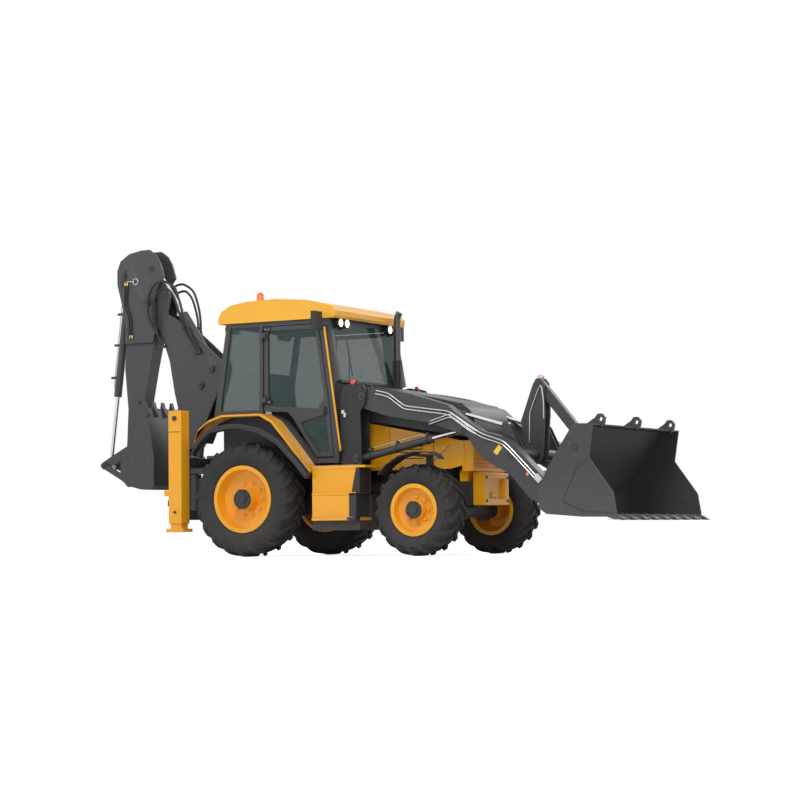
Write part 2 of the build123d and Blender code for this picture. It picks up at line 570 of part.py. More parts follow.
# Swing post: a hub between the lugs, a web behind it, ears for the boom below and for its cylinder above
post_low_z, post_high_z = lower_lug_z + lug_h + side_gap, upper_lug_z - side_gap
ear_in, ear_out = boom_half_w + side_gap, boom_half_w + side_gap + 30
cyl_half_w = 60
web_front_x, web_rear_x = swing_x - swing_nose_r - side_gap, boom_pivot[0] + 100
web_top_z = boom_cyl_base[1] + 50
with BuildPart() as swing_post:
    post((swing_x, 0), swing_pin_r + 35, post_low_z, post_high_z)
    block(web_rear_x, swing_x, -50, 50, post_low_z, post_high_z)
    post((swing_x, 0), swing_pin_r + pin_gap, post_low_z, post_high_z, mode=Mode.SUBTRACT)
    block(web_rear_x, web_front_x, -ear_out, ear_out, post_low_z, web_top_z)
    block(web_rear_x, web_front_x, -cyl_half_w - side_gap, cyl_half_w + side_gap, boom_cyl_base[1] - 85,
          web_top_z, mode=Mode.SUBTRACT)
    for side in (1, -1):
        plate([(web_front_x, post_low_z), (web_front_x, 800), (web_rear_x, 800), (-1620, 730),
               (-1680, 680), (-1690, 620), (-1650, 560), (-1560, post_low_z)], *span(side, ear_in, ear_out))
        plate([(web_rear_x, upper_lug_z + lug_h + side_gap), (-1290, upper_lug_z + lug_h + side_gap),
               (-1272, 1150), (-1300, web_top_z), (web_rear_x, web_top_z)],
              *span(side, cyl_half_w + side_gap, cyl_half_w + side_gap + 25))
    pin(boom_pivot, 35, -ear_out, ear_out)
    pin(boom_cyl_base, hoe_pin_r, -cyl_half_w - 30, cyl_half_w + 30)
keep(swing_post, "swing_post")

# Boom: two side plates with a web along the inner edge; the cylinders lie between the plates
boom_outline = [(-1690, 640), (-1640, 900), (-1590, 1300), (-1549, 1773), (-1598, 1962), (-1671, 2362),
                (-1796, 2703), (-1930, 2880), (-2060, 2990), (-2100, 3100), (-2060, 3190),
                (-1980, 3225), (-1860, 3300), (-1790, 3345), (-1715, 3285), (-1655, 3130),
                (-1700, 2940), (-1492, 2813), (-1180, 2560), (-915, 2330), (-900, 2240), (-960, 2000),
                (-1160, 1592), (-1300, 1320), (-1490, 1240), (-1512, 1190), (-1512, 640),
                (-1540, 570), (-1600, 550), (-1665, 580)]
boom_well = [(-1440, 1180), (-1450, 1500), (-1460, 1773), (-1500, 1962), (-1560, 2300), (-1680, 2660),
             (-1740, 2830), (-1810, 3000), (-1885, 3250), (-1905, 3500), (-800, 3500), (-800, 1180)]
with BuildPart() as boom:
    plate(boom_outline, -boom_half_w, boom_half_w, corner=6)
    plate(boom_well, -boom_half_w + boom_plate, boom_half_w - boom_plate, mode=Mode.SUBTRACT)
    pin(boom_pivot, 35 + pin_gap, -boom_half_w, boom_half_w, mode=Mode.SUBTRACT)
    pin(knee, 40 + pin_gap, -boom_half_w, boom_half_w, mode=Mode.SUBTRACT)
    pin(dipper_cyl_base, hoe_pin_r, -boom_half_w - 14, boom_half_w + 14)
    for side in (1, -1):
        pin(boom_cyl_eye, 52, *span(side, cyl_half_w + side_gap, boom_half_w + 14))
keep(boom, "backhoe_boom")

# Dipper: a box with a forked head that holds the knee and both cylinder pins
dipper_outline = [(-2325, 1110), (-2290, 1800), (-2337, 2300), (-2300, 2770), (-2330, 3000),
                  (-2420, 3330), (-2420, 3500), (-2370, 3620), (-2240, 3700), (-2060, 3734),
                  (-1940, 3734), (-1840, 3660), (-1780, 3560), (-1728, 3392), (-1800, 3300), (-1857, 3180),
                  (-1857, 3020), (-1853, 2770), (-1964, 2300), (-2066, 1800), (-2115, 1110),
                  (-2160, 1035), (-2280, 1035)]
tip_half_w = 100
head_well = [(-2328, 3100), (-2280, 2915), (-2150, 2800), (-1980, 2750), (-1700, 2690), (-1500, 2690),
             (-1500, 3900), (-2040, 3900), (-2060, 3690), (-2240, 3655), (-2330, 3580), (-2375, 3480),
             (-2375, 3350), (-2310, 3250)]
cylinder_well = [(-2520, 2700), (-2312, 2700), (-2270, 2915), (-2200, 3100), (-2265, 3530),
                 (-2300, 3560), (-2520, 3560)]
with BuildPart() as dipper:
    plate(dipper_outline, -dipper_half_w, dipper_half_w, corner=12)
    for side in (1, -1):
        plate([(-2600, 900), (-1500, 900), (-1500, 2600), (-2600, 2600)],
              *span(side, tip_half_w, dipper_half_w + 1), mode=Mode.SUBTRACT)
    plate(head_well, -boom_half_w - side_gap, boom_half_w + side_gap, mode=Mode.SUBTRACT)
    plate(cylinder_well, -cyl_half_w - side_gap, cyl_half_w + side_gap, mode=Mode.SUBTRACT)
    pin(knee, 40, -dipper_half_w - 12, dipper_half_w + 12)
    pin(bucket_cyl_base, hoe_pin_r, -dipper_half_w, dipper_half_w)
    for at in (hoe_bucket_pivot, guide_pivot):
        pin(at, hoe_pin_r, -tip_half_w - side_gap - 25, tip_half_w + side_gap + 25)
    for side in (1, -1):
        pin(dipper_cyl_eye, 58, *span(side, cyl_half_w + side_gap, boom_half_w + side_gap))
keep(dipper, "backhoe_dipper")

# Guide levers, one each side of the dipper's tip, joined by the pin of the rod's eye
guide_in, guide_t = tip_half_w + side_gap, 22
with BuildPart() as guides:
    for side in (1, -1):
        low, high = span(side, guide_in, guide_in + guide_t)
        strut(guide_pivot, guide_eye, guide_boss_r, low, high)
        pin(guide_eye, guide_boss_r, *span(side, 60, guide_in + guide_t))
    for at in (guide_pivot, guide_eye):
        pin(at, hoe_pin_r + pin_gap, -guide_in - guide_t, guide_in + guide_t, mode=Mode.SUBTRACT)
keep(guides, "guide_levers")

# Bucket link: a bar each side, outside the guide levers, with the pin of the rod's eye
push_in, push_t = guide_in + guide_t + side_gap, 20
with BuildPart() as push_link:
    for side in (1, -1):
        strut(guide_eye, hoe_bucket_ear, 36, *span(side, push_in, push_in + push_t))
        pin(guide_eye, hoe_pin_r, *span(side, 60, push_in + push_t))
keep(push_link, "bucket_link")

# Backhoe bucket: mouth towards the dipper, teeth up
hoe_side = [(-2195, 1010), (-2185, 925), (-2070, 850), (-1884, 805), (-1750, 800), (-1702, 850),
            (-1702, 1200), (-1760, 1560), (-1838, 1790), (-1890, 1795), (-1960, 1600), (-2058, 1344),
            (-2180, 1200)]
hoe_inside = [(-2400, 992), (-2171, 992), (-2169, 934), (-2063, 866), (-1880, 821), (-1757, 816),
              (-1718, 857), (-1718, 1198), (-1775, 1553), (-1852, 1784), (-1900, 2000), (-2400, 2000)]
hoe_tooth_count = 5
ear_y_in = push_in + push_t + side_gap
with BuildPart() as hoe_bucket:
    plate(hoe_side, -hoe_bucket_half_w, hoe_bucket_half_w)
    plate(hoe_inside, -hoe_bucket_half_w + hoe_bucket_wall, hoe_bucket_half_w - hoe_bucket_wall,
          mode=Mode.SUBTRACT)
    for n in range(hoe_tooth_count):
        y_mid = (n - (hoe_tooth_count - 1) / 2) * (2 * hoe_bucket_half_w - 60) / (hoe_tooth_count - 1)
        plate([(-1775, 1700), (-1812, 1770), (-1845, 1868), (-1858, 1868), (-1872, 1770), (-1815, 1690)],
              y_mid - 28, y_mid + 28)
    for side in (1, -1):
        low, high = span(side, guide_in, guide_in + 22)
        plate([(-2265, 1080), (-2240, 1000), (-2190, 935), (-2100, 890), (-2060, 865), (-2100, 1000),
               (-2150, 1080), (-2160, 1165), (-2220, 1185), (-2275, 1150)], low, high)
        pin(hoe_bucket_pivot, hoe_pin_r + pin_gap, low, high, mode=Mode.SUBTRACT)
        low, high = span(side, ear_y_in, ear_y_in + 22)
        plate([(-2285, 901), (-2270, 860), (-2237, 845), (-2180, 850), (-2060, 840), (-2070, 870),
               (-2170, 950), (-2180, 990), (-2240, 950)], low, high)
        pin(hoe_bucket_ear, 30, *span(side, ear_y_in, ear_y_in + 40))
keep(hoe_bucket, "backhoe_bucket")

# Backhoe cylinders: name, base, eye, barrel length, rod length, barrel radius, rod radius, half width, pin
hoe_cylinders = [
    ("boom_cylinder", boom_cyl_base, boom_cyl_eye, 800, 820, 56, 32, cyl_half_w, hoe_pin_r),
    ("dipper_cylinder", dipper_cyl_base, dipper_cyl_eye, 840, 820, 55, 30, cyl_half_w, hoe_pin_r),
    ("bucket_cylinder", bucket_cyl_base, guide_eye, 1480, 1000, 48, 27, 40, hoe_pin_r),
]
for name, base, eye, barrel_len, rod_len, barrel_r, rod_r, half_w, pin_r in hoe_cylinders:
    with BuildPart() as hoe_barrel:
        barrel(base, eye, barrel_len, barrel_r, rod_r, 0, half_w, 58, pin_r)
    keep(hoe_barrel, name + "_barrel")
    with BuildPart() as hoe_rod:
        ram(base, eye, rod_len, rod_r, 0, half_w, 46)
    keep(hoe_rod, name + "_rod")

# Cab tub: floor, walls between the rear wheels, inner wheel arches, front wall and cowl
cab_rear_x, cab_wall_x, cab_front_x = -530, 1035, 1112
tub_half_w, arch_y = 655, 785
floor_top_z, cowl_low_z, cowl_top_z = cab_floor_z + 40, 1960, 1988
arch_t = 26
arch_top = [(-700, 1340), (-640, 1470), (-500, 1570), (-330, cab_base_z), (200, cab_base_z), (358, 1540),
            (594, 1268), (800, 1015), (860, 960)]
arch = arch_top + [(x - (0 if x < 0 else 12), z - arch_t) for x, z in reversed(arch_top)]
with BuildPart() as cab_tub:
    block(cab_rear_x, cab_wall_x + 60, -tub_half_w, tub_half_w, cab_floor_z, floor_top_z)
    for side in (1, -1):
        plate([(cab_rear_x, cab_floor_z), (750, cab_floor_z), (594, 1255), (358, 1525), (190, 1610),
               (cab_rear_x, 1600), (cab_rear_x, 1560)], *span(side, tub_half_w - 30, tub_half_w))
        plate(arch, *span(side, tub_half_w - 30, arch_y))
        block(780, cab_wall_x + 60, *span(side, tub_half_w - 30, cab_half_w), cab_floor_z - 10,
              floor_top_z + 8)
        pin(hood_hinge, hood_pin_r, *span(side, hood_lug_y - 18, hood_lug_y + hood_lug_w + 25))
        block(cab_wall_x, hood_hinge[0] + 12, *span(side, hood_lug_y + hood_lug_w + 4,
              hood_lug_y + hood_lug_w + 24), hood_hinge[1] - 12, hood_hinge[1] + 12)
    block(cab_rear_x, cab_rear_x + 30, -tub_half_w, tub_half_w, cab_floor_z, cab_base_z)
    block(cab_wall_x, cab_wall_x + 25, -cab_half_w + pillar_w, cab_half_w - pillar_w, floor_top_z, cowl_top_z)
    block(cab_wall_x, cab_front_x, -cab_half_w + pillar_w, cab_half_w - pillar_w, cowl_low_z, cowl_top_z)
keep(cab_tub, "cab_tub")

# Cab frame: one pillar frame a side, with a quarter window and a doorway, and the cross rails between
frame_outline = [(-575, cab_base_z), (-395, roof_under_z), (985, roof_under_z), (1112, 1985), (1060, 1960),
                 (1042, 1758), (1100, 1112), (1040, 1112), (1040, 1110), (90, 1110), (90, cab_base_z)]
doorway = [(90, 1109), (90, 1680), (100, 2640), (848, 2640), (980, 1740), (1040, 1109)]
quarter_window = [(-488, 1680), (-345, 2640), (56, 2640), (44, 1680)]
door_pin_r, door_knuckle_r, door_knuckle_h = 8, 18, 60
door_knuckle_zs = (1760, 2500)
with BuildPart() as cab_frame:
    for side in (1, -1):
        low, high = span(side, cab_half_w - pillar_w, cab_half_w)
        plate(frame_outline, low, high)
        plate(doorway, low - 1, high + 1, mode=Mode.SUBTRACT)
        plate(quarter_window, low - 1, high + 1, mode=Mode.SUBTRACT)
        for z_low in door_knuckle_zs:
            post((door_hinge[0], side * door_hinge[1]), door_pin_r, z_low - 30, z_low + door_knuckle_h + 30)
            for z_end in (z_low - 28, z_low + door_knuckle_h + 2):
                block(70, door_hinge[0] + 8, *span(side, cab_half_w - 10, door_hinge[1] + 8), z_end,
                      z_end + 26)
    for x_low, x_high, z_low in ((-398, -345, roof_under_z - 50), (940, 990, roof_under_z - 50),
                                 (-575, -500, cab_base_z)):
        block(x_low, x_high, -cab_half_w + pillar_w, cab_half_w - pillar_w, z_low, z_low + 50)
keep(cab_frame, "cab_frame")

# Cab roof: a crowned cap that overhangs the frame, with a pad for the beacon
roof_outline = [(-495, roof_under_z), (-495, 2760), (-455, 2830), (-330, 2900), (-100, 2935), (296, 2945),
                (700, 2910), (1033, 2830), (1090, 2770), (1085, 2715), (1060, roof_under_z)]
beacon_at, beacon_pad_z = (-235, -300), 2935
with BuildPart() as cab_roof:
    plate(roof_outline, -cab_half_w - 30, cab_half_w + 30)
    post(beacon_at, 75, 2860, beacon_pad_z)
    block(-380, 935, -cab_half_w + pillar_w, cab_half_w - pillar_w, roof_under_z, roof_under_z + 130,
          mode=Mode.SUBTRACT)
keep(cab_roof, "cab_roof")

# Fixed glass: windscreen, rear window and the rear quarter windows
glass_t = 6
glass_half_w = cab_half_w - pillar_w
with BuildPart() as cab_glass:
    plate([(1104, cowl_top_z), (1110, cowl_top_z), (994, 2640), (988, 2640)], -glass_half_w, glass_half_w)
    plate([(-554, 1674), (-548, 1674), (-389, 2640), (-395, 2640)], -glass_half_w, glass_half_w)
    for side in (1, -1):
        plate(quarter_window, *span(side, cab_half_w - 20, cab_half_w - 20 + glass_t))
keep(cab_glass, "cab_glass")

# Doors: a frame with an upper and a lower window, hinged at its rear edge
door_outline = [(110, 1660), (120, 2630), (838, 2630), (969, 1742), (1029, 1122), (812, 1122), (765, 1178),
                (612, 1396), (500, 1566), (425, 1645)]
door_window = [(165, 1720), (168, 2580), (798, 2580), (915, 1790), (830, 1670), (450, 1700)]
door_low_window = [(600, 1520), (650, 1410), (830, 1180), (975, 1180), (935, 1600)]
door_half_t = 20
for side_name, side in (("left", 1), ("right", -1)):
    with BuildPart() as door:
        low, high = span(side, cab_half_w - 2 * door_half_t, cab_half_w)
        plate(door_outline, low, high)
        plate(door_window, low - 1, high + 1, mode=Mode.SUBTRACT)
        plate(door_low_window, low - 1, high + 1, mode=Mode.SUBTRACT)
        for z_low in door_knuckle_zs:
            block(door_hinge[0] + 5, 150, *span(side, cab_half_w - 5, door_hinge[1] + 15),
                  z_low, z_low + door_knuckle_h)
            post((door_hinge[0], side * door_hinge[1]), door_knuckle_r, z_low, z_low + door_knuckle_h)
            post((door_hinge[0], side * door_hinge[1]), door_pin_r + pin_gap, z_low, z_low + door_knuckle_h,
                 mode=Mode.SUBTRACT)
    keep(door, "door_" + side_name)
    with BuildPart() as door_glass:
        low, high = span(side, cab_half_w - door_half_t - 3, cab_half_w - door_half_t + 3)
        plate(door_window, low, high)
        plate(door_low_window, low, high)
    keep(door_glass, "door_glass_" + side_name)

# Seat: a base on a turning post with a back frame, and two soft pads
seat_at = (180, 0)
seat_top_z = cab_floor_z + 330
with BuildPart() as seat_base:
    post(seat_at, 120, floor_top_z, floor_top_z + 90)
    block(seat_at[0] - 180, seat_at[0] + 180, -190, 190, floor_top_z + 80, seat_top_z)
    plate([(seat_at[0] - 170, 1230), (seat_at[0] - 300, 1410), (seat_at[0] - 400, 2100),
           (seat_at[0] - 420, 2100), (seat_at[0] - 322, 1400), (seat_at[0] - 170, 1200)], -170, 170)
keep(seat_base, "seat_base")
with BuildPart() as seat_pads:
    block(seat_at[0] - 180, seat_at[0] + 260, -235, 235, seat_top_z, seat_top_z + 130)
    plate([(seat_at[0] - 180, 1420), (seat_at[0] - 280, 2140), (seat_at[0] - 400, 2140),
           (seat_at[0] - 298, 1420)], -225, 225)
keep(seat_pads, "seat_pads")

# Dashboard with the steering column and wheel
with BuildPart() as dashboard:
    plate([(860, floor_top_z), (cab_wall_x, floor_top_z), (cab_wall_x, 1880), (910, 1880), (860, 1700)],
          -300, 300)
    bar((900, 1720), (752, 1889), 28, 0)
    wheel_at = Plane(origin=(rear_axle_x + 755, 0, 1885), z_dir=(-140, 0, 160))
    with BuildSketch(wheel_at) as steering_face:
        Circle(190)
        Circle(165, mode=Mode.SUBTRACT)
    extrude(steering_face.sketch, amount=24)
    with BuildSketch(wheel_at) as spoke_face:
        Rectangle(40, 340)
    extrude(spoke_face.sketch, amount=16)
keep(dashboard, "dashboard")

# Rear fenders, the arches continued outwards, and the dark flares at their edge
fender_y_edge, flare_y_edge = 1020, 1130
with BuildPart() as rear_fenders:
    for side in (1, -1):
        plate(arch, *span(side, arch_y, fender_y_edge))
keep(rear_fenders, "rear_fenders")
flare_top = [(-665, 1215), (-644, 1260), (-543, 1376), (-420, 1474), (-200, 1510), (-29, 1512),
             (258, 1453), (495, 1325), (729, 1097), (880, 925)]
flare = flare_top + [(x - (0 if x < 0 else 20), z - 60) for x, z in reversed(flare_top)]
with BuildPart() as flares:
    for side in (1, -1):
        plate(flare, *span(side, fender_y_edge, flare_y_edge))
keep(flares, "fender_flares")

# Steps: stacked treads at both sides, between the wheels, on the towers' outer plates
with BuildPart() as side_steps:
    for side in (1, -1):
        block(880, step_front_x, *span(side, tower_y_out, 1000), tower_foot_z, 985)
        block(875, step_front_x + 70, *span(side, tower_y_out, 1000), 985, 1010)
        block(905, step_front_x - 15, *span(side, tower_y_out, 1050), 432, tower_foot_z)
        block(925, step_front_x, *span(side, tower_y_out, 1100), 399, 432)
keep(side_steps, "side_steps")

# Exhaust stack, on the cowling's left side ahead of the cab
stack_at, stack_r = (1160, 484), 43
with BuildPart() as exhaust:
    post(stack_at, stack_r, 1440, 2840)
    block(stack_at[0] - 10, stack_at[0] + 25, hood_half_w, stack_at[1], 1440, 1500)
keep(exhaust, "exhaust_stack")

# Mirrors on arms from the front pillars, and the grab rails ahead of the doors
rail_r, rail_y = 12, cab_half_w + 20
with BuildPart() as mirrors:
    for side in (1, -1):
        block(895, 950, *span(side, cab_half_w + 80, cab_half_w + 260), 2540, 2760)
        block(880, 902, *span(side, cab_half_w, cab_half_w + 90), 2560, 2585)
        bar((930, 2600), (1134, 1176), rail_r, side * rail_y)
        block(915, 940, *span(side, cab_half_w, rail_y), 2594, 2612)
        block(1070, 1146, *span(side, cab_half_w, rail_y + rail_r), 1160, 1180)
keep(mirrors, "mirrors_and_rails")

# Lamps under the roof's edges, and the beacon on its pad
with BuildPart() as lamps:
    for y_mid in (-640, -500, 500, 640):
        block(1012, 1060, y_mid - 55, y_mid + 55, 2600, roof_under_z)
        block(-480, -432, y_mid - 55, y_mid + 55, 2600, roof_under_z)
    post(beacon_at, 55, beacon_pad_z, beacon_pad_z + 165)
keep(lamps, "lamps_and_beacon")
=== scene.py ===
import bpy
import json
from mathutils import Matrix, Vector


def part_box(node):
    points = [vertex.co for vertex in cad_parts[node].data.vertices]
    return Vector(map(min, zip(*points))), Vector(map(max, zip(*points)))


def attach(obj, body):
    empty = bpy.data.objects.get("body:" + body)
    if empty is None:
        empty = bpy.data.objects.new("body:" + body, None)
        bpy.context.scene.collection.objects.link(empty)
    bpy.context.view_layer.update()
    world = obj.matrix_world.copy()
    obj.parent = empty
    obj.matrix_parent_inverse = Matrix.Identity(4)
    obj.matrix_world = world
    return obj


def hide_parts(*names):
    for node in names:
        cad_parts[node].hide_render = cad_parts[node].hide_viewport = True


bl_info = {
    "name": "Backhoe Loader Dressing",
    "version": (1, 0, 0),
    "blender": (4, 5, 0),
    "location": "View3D > Sidebar > Backhoe",
    "description": "Dresses the packed backhoe loader with tyres, paint, hoses, lamps and trim",
    "category": "Object",
}

import json
import math

import bmesh
import bpy
from mathutils import Matrix, Vector

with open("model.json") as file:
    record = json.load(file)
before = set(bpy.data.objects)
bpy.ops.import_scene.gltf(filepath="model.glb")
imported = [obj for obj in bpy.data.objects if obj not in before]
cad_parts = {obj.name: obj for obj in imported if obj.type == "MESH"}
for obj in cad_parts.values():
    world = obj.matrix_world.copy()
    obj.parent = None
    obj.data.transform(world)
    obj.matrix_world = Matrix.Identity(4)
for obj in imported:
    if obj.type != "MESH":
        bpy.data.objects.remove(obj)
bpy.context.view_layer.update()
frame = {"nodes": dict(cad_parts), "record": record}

SIDES = (("left", 1), ("right", -1))
REAR_HUB = (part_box("rear_rim_left")[0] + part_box("rear_rim_left")[1]) / 2
FRONT_HUB = (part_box("front_rim_left")[0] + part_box("front_rim_left")[1]) / 2
BODY_OF = {node: body for body, nodes in frame["record"]["behaviour"]["bodies"].items() for node in nodes}


def place(x, y, z):
    """A point from millimetres ahead of the rear axle, to the left and up."""
    return Vector((REAR_HUB.x + x / 1000, y / 1000, z / 1000))


def half_width(node):
    """Half of a node's width in millimetres."""
    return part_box(node)[1].y * 1000


# Faces that trim sits on, in millimetres from the middle plane
ROOF_OVERHANG = 30
CAB_FACE = half_width("cab_roof") - ROOF_OVERHANG
ARM_FACE = half_width("loader_arms") + 1
COWL_FACE = half_width("engine_cowling") - 1
BUCKET_FACE = half_width("loader_bucket")
TOWER_FACE = half_width("loader_towers")
LIFT_Y = 640                   # middle of a lift cylinder
STACK_X, STACK_Y = 1160, 484   # middle of the exhaust stack


class DressSettings(bpy.types.PropertyGroup):
    """Paints, rounding, tread and lens that the operators read"""
    body_paint: bpy.props.FloatVectorProperty(
        name="Body paint", description="Warm yellow of the sheet metal", subtype="COLOR",
        size=3, min=0, max=1, default=(0.92, 0.41, 0.010))
    roof_paint: bpy.props.FloatVectorProperty(
        name="Roof paint", description="Paler yellow of the cab roof", subtype="COLOR",
        size=3, min=0, max=1, default=(0.94, 0.47, 0.028))
    arm_paint: bpy.props.FloatVectorProperty(
        name="Arm paint", description="Charcoal grey of the arms and buckets", subtype="COLOR",
        size=3, min=0, max=1, default=(0.050, 0.050, 0.054))
    edge_round: bpy.props.FloatProperty(
        name="Edge rounding", description="Rounding of the plates' edges", unit="LENGTH",
        min=0.001, max=0.02, default=0.005)
    rear_lugs: bpy.props.IntProperty(
        name="Rear lugs", description="Tread bars on each side of a rear tyre", min=12, max=30, default=20)
    front_lugs: bpy.props.IntProperty(
        name="Front lugs", description="Tread bars on each side of a front tyre", min=12, max=30, default=18)
    lug_height: bpy.props.FloatProperty(
        name="Lug height", description="Height of the tread bars", unit="LENGTH",
        min=0.01, max=0.05, default=0.03)
    hose_radius: bpy.props.FloatProperty(
        name="Hose radius", description="Radius of the hydraulic lines", unit="LENGTH",
        min=0.005, max=0.03, default=0.012)
    camera_lens: bpy.props.FloatProperty(
        name="Lens", description="Focal length of the camera", unit="CAMERA", min=20, max=300, default=102.73)


# Materials

def start_material(name):
    """A material and its tree, or None for the tree of one that was made before."""
    mat = bpy.data.materials.get("dress_" + name)
    if mat:
        return mat, None
    mat = bpy.data.materials.new("dress_" + name)
    mat.use_nodes = True
    return mat, mat.node_tree


def dial(node, values):
    """Set a node's inputs by their names."""
    for name, value in values.items():
        node.inputs[name].default_value = value


def calculate(tree, operation, first, second):
    """One Math node; a second value that is a number is typed in."""
    node = tree.nodes.new("ShaderNodeMath")
    node.operation = operation
    tree.links.new(first, node.inputs[0])
    if isinstance(second, float):
        node.inputs[1].default_value = second
    else:
        tree.links.new(second, node.inputs[1])
    return node.outputs[0]


def socket_noise(tree, coords, scale, detail=4.0, distortion=0.0):
    noise = tree.nodes.new("ShaderNodeTexNoise")
    dial(noise, {"Scale": scale, "Detail": detail, "Distortion": distortion})
    tree.links.new(coords.outputs["Object"], noise.inputs["Vector"])
    return noise.outputs["Fac"]


def ramp(tree, source, low, high, stops):
    """A colour ramp between two positions of a grey value."""
    node = tree.nodes.new("ShaderNodeValToRGB")
    node.color_ramp.elements[0].position = low
    node.color_ramp.elements[0].color = (*stops[0], 1)
    node.color_ramp.elements[1].position = high
    node.color_ramp.elements[1].color = (*stops[1], 1)
    tree.links.new(source, node.inputs["Fac"])
    return node.outputs["Color"]


def blend_colour(tree, fac, first, second):
    node = tree.nodes.new("ShaderNodeMix")
    node.data_type = "RGBA"
    tree.links.new(fac, node.inputs["Factor"])
    for value, name in ((first, "A"), (second, "B")):
        found = [s for s in node.inputs if s.name == name and s.type == "RGBA"][0]
        if isinstance(value, bpy.types.NodeSocket):
            tree.links.new(value, found)
        else:
            found.default_value = (*value, 1)
    return [s for s in node.outputs if s.type == "RGBA"][0]


def finish_of(name, colour, roughness, metallic=0.0, grime=0.25, grain=60.0, bump=0.06, coat=0.0,
              dust=(0.32, 0.27, 0.20), dust_top=0.9, wear=None):
    """A finish with patchy colour, uneven gloss, a fine bump, dust near the ground and worn spots."""
    mat, tree = start_material(name)
    if not tree:
        return mat
    shader = tree.nodes["Principled BSDF"]
    coords = tree.nodes.new("ShaderNodeTexCoord")
    patches = socket_noise(tree, coords, 2.2, 5.0)
    fine = socket_noise(tree, coords, grain, 3.0)
    dark = tuple(c * (1 - grime * 0.55) for c in colour)
    tone = ramp(tree, patches, 0.3, 0.72, (dark, colour))
    split = tree.nodes.new("ShaderNodeSeparateXYZ")
    tree.links.new(coords.outputs["Object"], split.inputs["Vector"])
    height = tree.nodes.new("ShaderNodeMapRange")
    dial(height, {"From Min": 0.1, "From Max": dust_top, "To Min": grime, "To Max": 0.0})
    tree.links.new(split.outputs["Z"], height.inputs["Value"])
    cloud = calculate(tree, "MULTIPLY", height.outputs["Result"], socket_noise(tree, coords, 6.0, 6.0, 0.5))
    tone = blend_colour(tree, cloud, tone, dust)
    if wear:
        spots = ramp(tree, socket_noise(tree, coords, 26.0, 8.0, 1.2), 0.66, 0.74, ((0, 0, 0), (1, 1, 1)))
        tone = blend_colour(tree, spots, tone, wear)
    tree.links.new(tone, shader.inputs["Base Color"])
    gloss = tree.nodes.new("ShaderNodeMapRange")
    dial(gloss, {"To Min": max(0.03, roughness - 0.08), "To Max": min(1.0, roughness + 0.10)})
    tree.links.new(patches, gloss.inputs["Value"])
    tree.links.new(gloss.outputs["Result"], shader.inputs["Roughness"])
    dial(shader, {"Metallic": metallic, "Coat Weight": coat, "Coat Roughness": 0.12})
    skin = tree.nodes.new("ShaderNodeBump")
    dial(skin, {"Strength": bump, "Distance": 0.002})
    tree.links.new(fine, skin.inputs["Height"])
    tree.links.new(skin.outputs["Normal"], shader.inputs["Normal"])
    return mat


def see_through(name, tint, opacity):
    """Tinted sheet that shows what lies behind it and still mirrors the light."""
    mat, tree = start_material(name)
    if not tree:
        return mat
    shader = tree.nodes["Principled BSDF"]
    coords = tree.nodes.new("ShaderNodeTexCoord")
    haze = ramp(tree, socket_noise(tree, coords, 3.0, 4.0), 0.3, 0.8, (tint, tuple(c * 0.7 for c in tint)))
    tree.links.new(haze, shader.inputs["Base Color"])
    dial(shader, {"Alpha": opacity, "Roughness": 0.04, "IOR": 1.52})
    return mat


def glowing(name, colour, strength):
    mat = finish_of(name, colour, 0.25, grime=0.0, coat=0.5)
    shader = mat.node_tree.nodes["Principled BSDF"]
    dial(shader, {"Emission Color": (*colour, 1), "Emission Strength": strength})
    return mat


